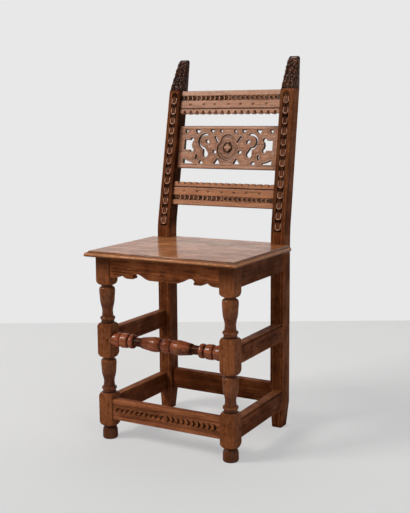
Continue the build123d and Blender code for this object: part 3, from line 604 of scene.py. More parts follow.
def waver(a, b, seed=0):
    """A gentle uneven surface between -1 and 1, like a hand plane leaves."""
    phase = seed * 1.7
    return (
        np.sin(a * 0.11 + phase) * np.sin(b * 0.023 + 2 * phase)
        + 0.5 * np.sin(a * 0.31 + b * 0.017 + 3 * phase)
        + 0.35 * np.sin(a * 0.07 - b * 0.055 + phase)
        + 0.25 * np.sin(a * 0.83 + b * 0.13 + 5 * phase)
    ) / 2.1


def rough_cut(a, b, seed=0):
    """A small rough surface between -1 and 1, like a gouge leaves in a ground."""
    return np.sin(a * 2.3 + seed) * np.sin(b * 1.9 + 2 * seed) * 0.6 + 0.4 * np.sin(
        a * 1.1 - b * 2.7 + seed)


def dimple(x, y, centre, radius):
    """1 in the middle of a round dent, 0 outside it."""
    reach = np.hypot(x - centre[0], y - centre[1])
    return np.clip(1 - (reach / radius) ** 2, 0, 1)


def store(mesh, attributes):
    """Stores numbers from 0 to 1 on the points of a mesh, by name."""
    for key, values in attributes.items():
        layer = mesh.attributes.new(key, "FLOAT", "POINT")
        layer.data.foreach_set("value", np.clip(values, 0, 1).astype(np.float32).ravel())


def linked(name, data):
    """A new object in the scene."""
    piece = bpy.data.objects.new(name, data)
    bpy.context.scene.collection.objects.link(piece)
    return piece


def shaded(mesh, name, sharp):
    """An object in the scene from a mesh, smooth but for edges over an angle in degrees."""
    mesh.shade_smooth()
    mesh.set_sharp_from_angle(angle=math.radians(sharp))
    return linked(name, mesh)


def new_piece(name, points, faces, attributes, sharp=38.0):
    """A mesh object from points in millimetres, with numbers stored on its points."""
    mesh = bpy.data.meshes.new(name)
    mesh.from_pydata((np.asarray(points, float) * MM).tolist(), [], faces)
    mesh.validate()
    store(mesh, attributes)
    mesh.update()
    return shaded(mesh, name, sharp)


SAME_PLACE = 0.00001  # points closer than this, in metres, are merged


def face_outwards(mesh):
    """Merges doubles and turns every face of a closed mesh outwards."""
    work = bmesh.new()
    work.from_mesh(mesh)
    bmesh.ops.remove_doubles(work, verts=work.verts, dist=SAME_PLACE)
    bmesh.ops.recalc_face_normals(work, faces=work.faces)
    work.to_mesh(mesh)
    work.free()
    mesh.update()


def ring_faces(rows, columns, flip=False):
    """Faces of a tube of rows, each a closed ring of columns."""
    row, column = np.meshgrid(np.arange(rows - 1), np.arange(columns), indexing="ij")
    after = (column + 1) % columns
    a = row * columns + column
    b = row * columns + after
    quads = np.stack((a, b, b + columns, a + columns), -1).reshape(-1, 4)
    return (quads[:, ::-1] if flip else quads).tolist()


def sheet_faces(rows, columns, start=0, flip=False):
    """Faces of an open sheet of rows by columns."""
    row, column = np.meshgrid(np.arange(rows - 1), np.arange(columns - 1), indexing="ij")
    a = start + row * columns + column
    quads = np.stack((a, a + 1, a + 1 + columns, a + columns), -1).reshape(-1, 4)
    return (quads[:, ::-1] if flip else quads).tolist()


def slab(name, x, y, front, back, attributes, place=Matrix.Identity(4)):
    """A closed slab over a grid: x, y and the front's height are arrays, back is one height.
    place turns its own x, y and height into the chair's frame."""
    rows, columns = x.shape
    top = np.stack((x, y, front), -1).reshape(-1, 3)
    under = np.stack((x, y, np.broadcast_to(back, x.shape)), -1).reshape(-1, 3)
    count = rows * columns
    faces = sheet_faces(rows, columns) + sheet_faces(rows, columns, count, flip=True)
    index = np.arange(count).reshape(rows, columns)
    rim = np.concatenate((index[0, :-1], index[:-1, -1], index[-1, :0:-1], index[:0:-1, 0]))
    after = np.roll(rim, -1)
    faces += np.stack((rim, rim + count, after + count, after), -1).tolist()
    points = np.concatenate((top, under)) * MM
    turned = np.array(place.to_3x3()) @ points.T + np.array(place.translation)[:, None]
    doubled = {key: np.concatenate((value.ravel(), np.zeros(count)))
               for key, value in attributes.items()}
    return new_piece(name, turned.T / MM, faces, doubled)


def dress(piece, material, stands_for=()):
    """Gives a piece its finish, its body and the nodes it stands for."""
    piece.data.materials.clear()
    piece.data.materials.append(material)
    if stands_for:
        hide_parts(*stands_for)
    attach(piece, BODY)
    return piece


THIN_WAX = {"wax": 0.4, "sheen": 0.3}


def materials():
    """Makes the finishes, each under its name, if they aren't there yet."""
    if "post wood" in bpy.data.materials:
        return
    finish = bpy.context.scene.chair_finish
    seat = {"dark": finish.seat_dark, "middle": finish.seat, "worn": finish.seat_worn}
    back = {"dark": finish.back_dark, "middle": finish.back, "worn": finish.back_worn}
    low_back = {"dark": finish.back_dark, "middle": finish.low_back, "worn": finish.worn_low_back}
    wood("post wood", "raked", finish, post_marks)
    wood("husk wood", "raked", finish, palette={"middle": finish.front, "worn": finish.husk})
    wood("back wood", "across", finish, palette=back, **THIN_WAX)
    wood("low back wood", "across", finish, palette=low_back, **THIN_WAX)
    wood("gouged wood", "across", finish, palette=back)
    wood("front wood", "across", finish, palette={"middle": finish.stretcher})
    wood("apron wood", "across", finish, palette={"middle": finish.front})
    wood("leg wood", "up", finish, leg_marks, wax=finish.wax * 0.62, sheen=0.10)
    wood("spindle wood", "across", finish, spindle_marks, {"middle": finish.spindle},
         wax=finish.wax)
    wood("rail wood", "across", finish)
    wood("seat wood", "across", finish, seat_marks, seat, gloss=0.14, wax=0.58)
    wood("peg wood", "up", finish)


# ---------------------------------------------------------------- carving units
SUNK = 0.6  # how far a unit's underside sits in its ground, in millimetres


def husk(name, width, length, rise):
    """One husk: a scale with a raised rim round its blunt tip, which points down and stands
    proud, and two furrows beside a middle rib. It sits on its ground, its tip at the origin."""
    rows, columns = 30, 21
    closer_at_tip = 1.25
    tip_round = width * 0.42
    furrow_place, furrow_width = 0.42, 0.19
    t, a = np.meshgrid(np.linspace(0, 1, rows) ** closer_at_tip,
                       np.linspace(-1, 1, columns), indexing="ij")
    y = t * length
    round_off = np.sqrt(np.clip(1 - np.clip(1 - y / tip_round, 0, 1) ** 2, 0.10, 1))
    taper = 1 - 0.30 * smooth(0.55, 1.0, t)
    x = a * width / 2 * round_off * taper
    side_rim = smooth(0.66, 0.80, abs(a)) * (1 - smooth(0.45, 0.85, t))
    rim = np.maximum(side_rim, 1 - smooth(0.06, 0.15, t))
    furrow = ridge(abs(a), furrow_place, furrow_width) * smooth(0.12, 0.26, t)
    body = (0.62 - 0.40 * t) * (1 - 0.45 * furrow)
    front = rise * np.maximum(body, rim * (1 - 0.35 * t))
    # painted shadow under the tip of the husk above; the furrows painted darker
    root_shade = smooth(0.66, 0.84, t)
    hollow = np.clip(0.50 * furrow + 1.1 * root_shade + 0.25 * (1 - rim), 0, 1)
    # the rim is lighter with rubbing and a painted highlight
    marks = {"hollow": hollow, "wear": rim * (1 - hollow), "gleam": 0.15 * rim}
    return slab(name, x, y, front, -SUNK, marks)


def crescent(name, pitch, height, rise):
    """One gouged crescent: a bowed ridge over a ground that climbs to it and drops behind it."""
    rows, columns = 17, 23
    bow_depth = 4.6
    y, s = np.meshgrid(np.linspace(-height / 2, height / 2, rows),
                       np.linspace(0, 1, columns), indexing="ij")
    bow = bow_depth * (1 - (2 * y / height) ** 2)
    ends = smooth(0.0, 0.22, 1 - abs(2 * y / height))
    climb = smooth(0.30, 0.66, s) * (1 - smooth(0.76, 0.90, s))
    front = rise * (0.06 + 0.94 * climb * (0.25 + 0.75 * ends))
    x = s * pitch - pitch / 2 + bow * np.sin(s * math.pi) ** 0.8
    hollow = 0.95 * (1 - smooth(0.15, 0.75, front / rise)) + 0.4 * smooth(0.80, 0.95, s)
    wear = smooth(0.60, 0.95, front / rise)
    return slab(name, x, y, front, -SUNK, {"hollow": hollow, "wear": wear})


def tile(pitch, height, columns, rows):
    """The grid of a rectangular unit, its middle at the origin."""
    return np.meshgrid(np.linspace(-pitch / 2, pitch / 2, columns),
                       np.linspace(-height / 2, height / 2, rows))


def eye(name, pitch, height, rise):
    """One round pit with a raised crescent along its left side."""
    middle, ridge_radius, ridge_width = 1.6, 5.5, 1.1
    x, y = tile(pitch, height, 25, 21)
    reach = np.hypot(x - middle, y)
    left = smooth(-2.6, 1.4, middle - x)
    rim = ridge(reach, ridge_radius, ridge_width) * left
    pit = 1 - smooth(3.2, 4.4, reach)
    front = rise * np.clip(0.30 + 0.70 * rim - 0.30 * pit, 0, 1)
    hollow = np.clip(1.1 * pit + 0.62 * (1 - smooth(0.1, 0.7, rim)), 0, 1)
    return slab(name, x, y, front, -SUNK, {"hollow": hollow, "wear": rim})


def crescent_cut(name, pitch, height, rise):
    """A tile flush with its board, with one crescent cut deep into it, its concave side left."""
    bow_depth, shift = 5.4, 2.0
    x, y = tile(pitch, height, 31, 25)
    part = abs(2 * y / height)
    reach = x - bow_depth * (1 - part**2) + shift
    ends = np.sqrt(np.clip(1 - part**2, 0, 1))
    thick = 0.4 + 2.9 * ends
    cut = 1 - smooth(thick - 0.7, thick + 0.4, abs(reach))
    lip = ridge(reach + thick, -1.0, 1.0) * ends
    front = rise * (1 - 0.95 * cut)
    marks = {"hollow": cut, "wear": (0.45 + 0.5 * lip) * (1 - cut)}
    return slab(name, x, y, front, -SUNK, marks)


def leaf_cut(name, pitch, height, rise):
    """A tile flush with its board, with a small leaf marked by two slanting cuts."""
    x, y = tile(pitch, height, 31, 25)
    upper = np.hypot((x + 0.6 + 0.25 * y) / 6.4, (y - 3.2 - 0.30 * x) / 2.5)
    lower = np.hypot((x + 3.6 - 0.4 * y) / 2.3, (y + 2.0) / 4.8)
    cut = 1 - smooth(0.6, 1.1, np.minimum(upper, lower))
    lobe = np.clip(1 - ((x - 1.6) / 3.4) ** 2 - ((y + 2.3) / 2.2) ** 2, 0, 1) ** 0.5
    front = rise * (0.85 - 0.75 * cut + 0.15 * lobe)
    # painted highlight on the raised lobe
    marks = {"hollow": 0.95 * cut, "wear": (0.45 + 0.5 * lobe) * (1 - cut)}
    return slab(name, x, y, front, -SUNK, marks)


# ---------------------------------------------------------------- rows of units
ROW_INPUTS = (
    ("Unit", "NodeSocketObject"),
    ("Count", "NodeSocketInt"),
    ("First", "NodeSocketVector"),
    ("Step", "NodeSocketVector"),
    ("Turn", "NodeSocketVector"),
    ("Last Scale", "NodeSocketFloat"),
    ("Unevenness", "NodeSocketFloat"),
    ("Seed", "NodeSocketInt"),
    ("Material", "NodeSocketMaterial"),
)


def row_tree():
    """Node tree that sets copies of a unit along a straight row, each a little different."""
    if "Carved Row" in bpy.data.node_groups:
        return bpy.data.node_groups["Carved Row"]
    group = bpy.data.node_groups.new("Carved Row", "GeometryNodeTree")
    group.interface.new_socket("Geometry", in_out="INPUT", socket_type="NodeSocketGeometry")
    for name, kind in ROW_INPUTS:
        group.interface.new_socket(name, in_out="INPUT", socket_type=kind)
    group.interface.new_socket("Geometry", in_out="OUTPUT", socket_type="NodeSocketGeometry")
    tree = Tree(group)
    given = tree.add("NodeGroupInput")
    line = tree.add("GeometryNodeMeshLine", {"mode": "OFFSET"}, {
        "Count": given.out("Count"), "Start Location": given.out("First"),
        "Offset": given.out("Step")})
    unit = tree.add("GeometryNodeObjectInfo", {}, {"Object": given.out("Unit")}).out("Geometry")
    number = tree.add("GeometryNodeInputIndex")
    last = tree.add("ShaderNodeMath", {"operation": "SUBTRACT"}, {0: given.out("Count"), 1: 1.0})
    part = tree.add("ShaderNodeMath", {"operation": "DIVIDE"}, {0: number, 1: last})
    shrink = tree.add("ShaderNodeMapRange", {}, {
        "Value": part, "To Min": 1.0, "To Max": given.out("Last Scale")})
    less = 1 - given.out("Unevenness")
    more = 1 + given.out("Unevenness")
    chance = tree.add("FunctionNodeRandomValue", {"data_type": "FLOAT"})
    for index, value in ((2, less), (3, more), (8, given.out("Seed"))):
        group.links.new(value.socket, chance.socket.node.inputs[index])
    scale = Sock(tree, chance.socket.node.outputs[1]) * shrink
    turn = tree.add("FunctionNodeEulerToRotation", {}, {"Euler": given.out("Turn")})
    placed = tree.add("GeometryNodeInstanceOnPoints", {}, {
        "Points": line, "Instance": unit, "Rotation": turn, "Scale": scale})
    real = tree.add("GeometryNodeRealizeInstances", {}, {"Geometry": placed})
    dressed = tree.add("GeometryNodeSetMaterial", {}, {
        "Geometry": real, "Material": given.out("Material")})
    tree.add("NodeGroupOutput", {}, {"Geometry": dressed})
    return group


def carved_row(name, unit, count, first, step, turn, wood_name, last_scale=1.0):
    """Runs the row tree once and keeps its result as a plain mesh."""
    carving = bpy.context.scene.chair_carving
    group = row_tree()
    holder = linked(name + "_row", bpy.data.meshes.new(name + "_row"))
    modifier = holder.modifiers.new("Row", "NODES")
    modifier.node_group = group
    values = {
        "Unit": unit, "Count": count, "First": first, "Step": step, "Turn": turn,
        "Last Scale": last_scale, "Unevenness": carving.unevenness, "Seed": carving.seed,
        "Material": bpy.data.materials[wood_name],
    }
    for item in group.interface.items_tree:
        if item.in_out == "INPUT" and item.name in values:
            modifier[item.identifier] = values[item.name]
    holder.update_tag()
    graph = bpy.context.evaluated_depsgraph_get()
    graph.update()
    mesh = bpy.data.meshes.new_from_object(holder.evaluated_get(graph))
    if not mesh.polygons:
        raise RuntimeError(f"the row {name} came out empty")
    bpy.data.objects.remove(holder)
    mesh.name = name
    piece = linked(name, mesh)
    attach(piece, BODY)
    return piece


# ---------------------------------------------------------------- back posts
def post_line(height):
    """How far the post's faces have gone back at a height: upright, bent, then raked."""
    reach = KNEE_RADIUS * math.tan(RAKE / 2)
    low = KNEE - reach
    high = KNEE + reach * math.cos(RAKE)
    turn = KNEE_RADIUS - np.sqrt(
        np.clip(KNEE_RADIUS**2 - np.clip(height - low, 0, KNEE_RADIUS) ** 2, 0, None))
    return np.where(height < low, 0, np.where(height < high, turn, SLOPE * (height - KNEE)))


# lumps of the finials' leafy carving: place to the side, place up, half width, half height
FINIAL_LUMPS = (
    (3.5, 80, 6.5, 6.5), (12.5, 72, 4.0, 8.5), (0, 68, 4.6, 4.2), (7.6, 63, 4.6, 3.6),
    (14.5, 58, 4.0, 5.4), (13.0, 46, 3.6, 6.8), (15.0, 33, 3.8, 5.6), (6.4, 34, 4.8, 3.8),
    (0, 30, 3.0, 4.6), (9.5, 22, 5.4, 6.6), (1.8, 14, 3.4, 9.6), (14.5, 12, 4.4, 8.0),
    (7.8, 7, 2.8, 6.6),
)
# height and radius of the finials' boss and of the curl over it, and the depth of the carving
FINIAL_BOSS = (48.0, 8.6)
BOSS_RAYS = 8
FINIAL_CURL = (64.0, 12.5)
FINIAL_DEPTH = 3.4


def finial_relief(side, up):
    """Depth, painted shade and grime between the lumps, and painted highlight on their tops, of
    the leafy carving on a finial, side and up in millimetres.
    """
    side = abs(side + 0.9 * np.sin(up * 0.21))
    lump = np.zeros_like(side)
    for x, y, wide, high in FINIAL_LUMPS:
        lump = np.maximum(lump, 1 - ((side - x) / wide) ** 2 - ((up - y) / high) ** 2)
    height, size = FINIAL_BOSS
    reach = np.hypot(side, up - height)
    rays = 0.5 + 0.5 * np.cos(BOSS_RAYS * np.arctan2(side, up - height))
    boss = np.clip(1 - (reach / size) ** 2, 0, 1) * (1 - 0.75 * rays * (reach > 0.3 * size))
    height, size = FINIAL_CURL
    ring = ridge(np.hypot(side, up - height), size, 1.6) * (up > height + 2)
    form = np.clip(np.maximum(np.maximum(lump, boss), 0.9 * ring), 0, 1) ** 0.6
    form = form * (1 - ridge(up, 1.5, 1.8))
    # painted highlight on the tops of the lumps
    light = smooth(0.80, 1.0, form) * (0.55 + 0.45 * rough_cut(0.4 * side, 0.4 * up, 2))
    return FINIAL_DEPTH * (1 - form), np.clip(1.30 - 1.25 * form, 0, 1), np.clip(light, 0, 1)


FRONT, OUTER, BACK, INNER = range(4)
FACE_POINTS = {FRONT: 64, OUTER: 34, BACK: 20, INNER: 34}
CORNER_CROWDING = 0.28  # how much closer together the points of a face are near its corners


def post_section():
    """Where the points of one section lie: face number, place along it from 0 to 1."""
    faces, places = [], []
    for face, count in FACE_POINTS.items():
        t = (np.arange(count) + 0.5) / count
        ease = 0.5 - 0.5 * np.cos(t * math.pi)
        faces.append(np.full(count, face))
        places.append((1 - CORNER_CROWDING) * t + CORNER_CROWDING * ease)
    return np.concatenate(faces), np.concatenate(places)


ROUNDED_TOP = 5.0
TOP_BEND = 11.0
POST_WEAR = 2.2  # the posts' worn corners, as a share of the edge wear


def post_heights():
    """Heights of the sections: close together where the post is carved."""
    low = np.linspace(0, FOOT_TAPER_HEIGHT, 8)
    plain = np.linspace(FOOT_TAPER_HEIGHT + 8, KNEE - 34, 44)
    bend = np.linspace(KNEE - 27, KNEE - 6, 8)
    carved = np.arange(KNEE - 4, POST_TOP - ROUNDED_TOP, 0.95)
    cap = POST_TOP - ROUNDED_TOP + ROUNDED_TOP * np.sin(np.linspace(0.04, 1, 12) * math.pi / 2)
    return np.concatenate((low, plain, bend, carved, cap))


def quarter_round(z, height):
    """From 0 a height under the post's top to 1 at it, along a quarter of a circle."""
    up = np.clip((z - POST_TOP + height) / height, 0, 1)
    return 1 - np.sqrt(np.clip(1 - up**2, 0, 1))


def post_outline(z):
    """The right post's inner and outer x and its front and back y at each height."""
    distance = along(z)
    top = along(POST_TOP) + POST_DEPTH
    beyond = np.clip((distance - FINIAL_ALONG) / (top - FINIAL_ALONG), 0, 1)
    foot = FOOT_TAPER * (1 - np.clip(z / FOOT_TAPER_HEIGHT, 0, 1))
    x_in = inner_x(distance) + FINIAL_TAPER * beyond + foot
    x_out = outer_x(distance) - 1.9 * FINIAL_TAPER * beyond - foot
    line = POST_FRONT + post_line(z)
    slant = np.clip((z - FINIAL_BASE) / (POST_TOP - FINIAL_CAP - FINIAL_BASE), 0, 1)
    cap = np.clip((z - POST_TOP + FINIAL_CAP) / FINIAL_CAP, 0, 1)
    pull = ROUNDED_TOP * quarter_round(z, ROUNDED_TOP)
    bend = quarter_round(z, TOP_BEND)
    shut = pull * 0.8 + 1.5 * bend
    y_front = line + FINIAL_SET_BACK * slant + FINIAL_CAP / 2 * cap + 3.0 * bend
    y_back = line + POST_DEPTH - foot - pull * 0.5 - 2.0 * bend
    return x_in + shut, x_out - shut, y_front, y_back


def carved_post(name, side, edge_round):
    """A back post with its sunk panel and leafy finial, as rings of points up its height."""
    face, t = post_section()
    z = post_heights()[:, None]
    x_in, x_out, y_front, y_back = post_outline(z)
    middle = (x_in + x_out) / 2
    half = (x_out - x_in) / 2
    deep = y_back - y_front
    part = np.where(face > OUTER, 1 - t, t)
    x = np.select([face == OUTER, face == INNER], [x_out, x_in], x_in + 2 * half * part)
    y = np.select([face == FRONT, face == BACK], [y_front, y_back], y_front + deep * part)
    z = np.broadcast_to(z, x.shape)
    on_front, on_side = face == FRONT, (face == OUTER) | (face == INNER)

    # worn corners: a point close to a corner moves in towards the middle
    off = x - middle
    behind = y - y_front
    from_edge = np.maximum(half - abs(off), np.minimum(behind, y_back - y))
    near = np.clip(1 - from_edge / edge_round, 0, 1)
    corner = 0.42 * edge_round * near**2 * (1.1 + 0.4 * waver(z, off, 3))
    inward_x = -np.sign(off) * corner
    inward_y = np.where(behind < y_back - y, 1, -1) * corner

    # the sunk panel on the front, round-headed under the finial, with a curl in its head
    flat = half - PANEL_MARGIN
    head = FINIAL_BASE - PANEL_HEAD - flat
    arch = np.hypot(off, np.clip(z - head, 0, None))
    inside = (1 - smooth(flat - 1.1, flat - 0.1, arch)) * smooth(KNEE + 1, KNEE + 3, z)
    curl = ridge(np.hypot(off, z - head - 1), 5.2, 1.3) * (z > head - 5)
    panel = inside * (PANEL_DEPTH - 2.2 * curl + 0.18 * rough_cut(off, z))
    rounding = ridge(arch - flat, 0.4, 0.8) * smooth(KNEE, KNEE + 3, z)

    # the leafy finial, on the front and on the front half of the sides
    up = z - FINIAL_BASE
    is_finial = up > 0
    leaf, leaf_shade_and_dirt, leaf_highlight = finial_relief(off, up)
    ease = smooth(POST_WIDTH / 2 - 4.5, POST_WIDTH / 2 - 1.5, abs(off))
    front_depth = np.where(is_finial, leaf * (1 - 0.6 * ease), panel + 0.25 * rounding)
    front_depth = front_depth + 0.12 * waver(z, off, 1)
    side_leaf, side_shade_and_dirt, side_highlight = finial_relief(POST_WIDTH / 2 - 2 - behind, up)
    fade = 1 - smooth(0.40, 0.65, behind / np.maximum(deep, 1))

    # the side faces: a scratched line behind the front edge
    carved_high = smooth(KNEE + 6, KNEE + 12, z) * (1 - smooth(FINIAL_BASE - 12, FINIAL_BASE, z))
    scratch = ridge(behind, 7.5, 0.8) * carved_high
    side_depth = np.where(is_finial, 0.7 * side_leaf * fade, scratch)
    side_depth = side_depth + 0.12 * waver(z, behind, 2)
    x = x + inward_x + np.where(on_side, -np.sign(off) * side_depth, 0)
    y = y + inward_y + np.where(on_front, front_depth, 0) - np.where(
        face == BACK, 0.12 * waver(z, off, 4), 0)

    # painted shade and grime: the panel's ground and lines, a foot darker near the floor, painted
    # shade on the inner face and on the front's inner strip, and a darker border line
    above_seat = smooth(KNEE - 20, KNEE + 20, z)
    border = ridge(abs(off) - flat, 3.4, 0.8) * smooth(KNEE + 3, KNEE + 9, z)
    front_shade_and_dirt = np.where(is_finial, leaf_shade_and_dirt, 0.97 * inside * (1 - 0.85 * curl))
    side_mark = np.where(is_finial, side_shade_and_dirt * fade, 0.85 * scratch)
    hollow = np.where(on_front, front_shade_and_dirt, np.where(on_side, side_mark, 0))
    for shade in (
        0.5 * (1 - smooth(2, 12, z)),
        0.75 * border * on_front * ~is_finial,
        # painted shade on the strip of the front next to the inner face
        np.where(on_front & (off < -flat), 0.38, 0) * above_seat,
        # painted shade on the inner face above the seat
        np.where(face == INNER, 0.80, 0) * above_seat,
    ):
        hollow = np.maximum(hollow, shade)

    # rubbing and painted highlight: rubbing on the panel's rim and the corners, a painted
    # highlight on the outer border and on the tips of the leaves
    rim = smooth(flat - 0.6, flat + 0.2, arch) * (1 - smooth(flat + 1.0, flat + 2.0, arch))
    wear = np.where(on_front & ~is_finial, rim * 0.9, 0)
    # painted highlight on the front's outer border above the seat
    wear = np.maximum(wear, np.where(on_front & (off > flat + 4.4), 0.45, 0) * above_seat)
    wear = np.maximum(wear, near * 0.9) * (1 - 0.75 * is_finial) * (1 - hollow)
    lit = np.where(on_front, leaf_highlight, 0.6 * side_highlight * fade) * (is_finial & (face != BACK))
    wear = np.maximum(wear, 0.30 * lit)
    soot = np.where(is_finial, np.where(on_front | on_side & (fade > 0.5), 0.82, 0.80), 0)
    hollow = np.maximum(hollow, soot * (1 - 0.6 * lit))
    gleam = np.where(is_finial & (face != BACK), 0.60 - 0.35 * hollow * (lit < 0.1), 0)

    points = np.stack((x * side, y, z), -1).reshape(-1, 3)
    rows, columns = x.shape
    faces = ring_faces(rows, columns, flip=side < 0)
    first = list(range(columns))
    last = [(rows - 1) * columns + i for i in range(columns)]
    faces += [first[::-1] if side > 0 else first, last if side > 0 else last[::-1]]
    marks = {"hollow": hollow, "wear": wear, "gleam": gleam}
    return new_piece(name, points, faces, marks, sharp=50.0)


class ChairPosts(bpy.types.Operator):
    """Carve the two back posts, with their sunk panels and leafy finials"""

    bl_idname = "chair.posts"
    bl_label = "Back Posts"

    def execute(self, context):
        edge_round = context.scene.chair_carving.edge_round / MM * POST_WEAR
        for name, side in SIDES:
            piece = carved_post(f"carved_post_{name}", side, edge_round)
            dress(piece, bpy.data.materials["post wood"], stands_for=[f"back_post_{name}"])
        return {"FINISHED"}


class ChairHusks(bpy.types.Operator):
    """Set a row of husks into the sunk panel of each back post"""

    bl_idname = "chair.husks"
    bl_label = "Post Husks"

    def execute(self, context):
        carving = context.scene.chair_carving
        pitch = carving.husk_pitch / MM
        start = along(KNEE + 7.0)
        end = start + pitch * (carving.husk_count - 1)
        unit = husk("husk_unit", carving.husk_width / MM, pitch * 0.97, carving.husk_rise / MM)
        for name, side in SIDES:
            first, last = (
                RAKED @ Vector((side * (inner_x(distance) + outer_x(distance)) / 2 * MM,
                                distance * MM, -PANEL_DEPTH * MM))
                for distance in (start, end))
            step = (last - first) / (carving.husk_count - 1)
            carved_row(f"post_husks_{name}", unit, carving.husk_count, first, step,
                       RAKED_TURN, "husk wood", 0.93)
        bpy.data.objects.remove(unit)
        return {"FINISHED"}


# ---------------------------------------------------------------- back rails
# each carved back rail: its node, bottom, top, and 1 where its plain edge is the upper one
BACK_RAILS = (("crest_rail", 851.0, 913.5, 1), ("lower_back_rail", 598.5, 662.0, -1))
DOT_PLACES = (-123, -80, -45, -2, 35, 73, 113)
DOT_STRETCH = 1.5
PLAIN_BAND = 14.0
GOUGE_BAND = 13.0
DOT_BAND = 21.5
GROOVE_WIDTH = 2.6
SCALLOP_DEPTH = 3.4
SCALLOP_WIDTH = 9.5
SCALLOPED_HALF = 158.0


def scallop_edge(x, pitch):
    """How far the scalloped edge is notched in at a place along it."""
    radius = (SCALLOP_WIDTH**2 / 4 + SCALLOP_DEPTH**2) / (2 * SCALLOP_DEPTH)
    nearest = x - np.round(x / pitch) * pitch
    last = (int(2 * SCALLOPED_HALF / pitch) // 2) * pitch
    cut = np.sqrt(np.clip(radius**2 - nearest**2, 0, None)) - (radius - SCALLOP_DEPTH)
    return np.where(abs(x) < last + pitch / 2, np.clip(cut, 0, None), 0)


def trimmed_rail(name, bottom, top, way, carving):
    """A back rail with a sunk band, punched dots, a groove and a scooped, scalloped lip."""
    pitch = carving.scallop_pitch / MM
    low, high = along(bottom), along(top)
    plain_edge = high if way > 0 else low
    across, deep = np.meshgrid(np.linspace(-1, 1, 330), np.linspace(0, 1, 84))
    middle_reach = inner_x((low + high) / 2) + TUCK
    span = high - low - scallop_edge(across * middle_reach, pitch)
    down = deep * span
    v = plain_edge - way * down
    x = across * (inner_x(v) + TUCK)

    # the bands, one under the other from the plain edge
    gouge_start, gouge_end = PLAIN_BAND, PLAIN_BAND + GOUGE_BAND
    groove_start = gouge_end + DOT_BAND
    groove_end = groove_start + GROOVE_WIDTH
    band = smooth(gouge_start - 0.4, gouge_start + 0.4, down) * (
        1 - smooth(gouge_end - 0.4, gouge_end + 0.4, down))
    groove = smooth(groove_start - 0.5, groove_start + 0.4, down) * (
        1 - smooth(groove_end - 0.3, groove_end + 0.8, down))
    dots = np.zeros_like(x)
    for place in DOT_PLACES:
        centre = (place / DOT_STRETCH, gouge_end + DOT_BAND * 0.52)
        dot = dimple(x / DOT_STRETCH, down, centre, carving.dot_radius / MM)
        dots = np.maximum(dots, dot**0.7)
    nearest = x - np.round(x / pitch) * pitch
    from_edge = span - down
    scoop = np.clip(1 - (nearest / 4.6) ** 2 - ((from_edge - 0.4) / 4.8) ** 2, 0, 1) ** 0.6
    scoop = scoop * smooth(groove_end, groove_end + 1, down)
    rounded = 1.5 * np.clip(1 - down / 1.5, 0, 1) ** 2
    rounded = rounded + 1.2 * np.clip(1 - from_edge / 1.2, 0, 1) ** 2
    depth = (band * PANEL_DEPTH + groove * GROOVE_DEPTH + dots * carving.dot_depth / MM
             + 3.0 * scoop + rounded
             + 0.14 * waver(x, down * 4, 5) + 0.14 * band * rough_cut(x, down))

    # painted shadow line along the plain edge
    top_line = 1 - smooth(0.4, 1.6, down)
    scoop_shade = 1.0 if way > 0 else 0.55
    hollow = np.clip(band * 0.97 + groove * 1.1 + dots * 0.75 + scoop_shade * scoop
                     + 0.8 * top_line, 0, 1)
    edge = np.maximum(ridge(down, 2.2, 1.2), ridge(from_edge, 0, 1.3))
    for place in (gouge_start, gouge_end, groove_start, groove_end):
        edge = np.maximum(edge, 0.7 * ridge(down, place, 1.4))
    # painted highlight along the plain band
    top_light = (0.5 if way > 0 else 0.6) * (1 - smooth(8, 16, down))
    wear = np.clip(np.maximum(edge * 0.8, top_light + 0.15), 0, 1) * (1 - hollow)
    arrays = (x, v, -depth, hollow, wear)
    if way > 0:
        arrays = tuple(a[::-1] for a in arrays)
    x, v, front, hollow, wear = arrays
    place = RAKED @ Matrix.Translation((0, 0, -RAIL_SETBACK * MM))
    return slab(name, x, v, front, -RAIL_THICKNESS, {"hollow": hollow, "wear": wear}, place)


class ChairBackRails(bpy.types.Operator):
    """Carve the crest rail and the lower back rail"""

    bl_idname = "chair.back_rails"
    bl_label = "Crest and Lower Back Rails"

    def execute(self, context):
        for name, bottom, top, way in BACK_RAILS:
            piece = trimmed_rail("carved_" + name, bottom, top, way, context.scene.chair_carving)
            finish = "back wood" if way > 0 else "low back wood"
            dress(piece, bpy.data.materials[finish], stands_for=[name])
        return {"FINISHED"}


class ChairGouges(bpy.types.Operator):
    """Set rows of gouged crescents into the sunk bands of the back rails"""

    bl_idname = "chair.gouges"
    bl_label = "Gouged Bands"

    def execute(self, context):
        carving = context.scene.chair_carving
        pitch = carving.gouge_pitch / MM
        height, rise = GOUGE_BAND - 0.6, carving.gouge_rise / MM
        for name, bottom, top, way in BACK_RAILS:
            edge = along(top) if way > 0 else along(bottom)
            v = edge - way * (PLAIN_BAND + GOUGE_BAND / 2)
            count = int((inner_x(v) - 3) / pitch)
            for half, side in SIDES:
                unit = (eye if side > 0 else crescent)("gouge_unit", pitch, height, rise)
                first = RAKED @ Vector((side * (pitch * 0.5 + 1) * MM, v * MM,
                                        -(RAIL_SETBACK + PANEL_DEPTH) * MM))
                step = Vector((side * pitch * MM, 0, 0))
                carved_row(f"{name}_gouges_{half}", unit, count, first, step, RAKED_TURN,
                           "gouged wood")
                bpy.data.objects.remove(unit)
        return {"FINISHED"}


# ---------------------------------------------------------------- pierced rail and apron
WALL_TILT = 0.55  # a normal leaning less than this towards the front belongs to a cut edge
FACING_TILT = 0.7


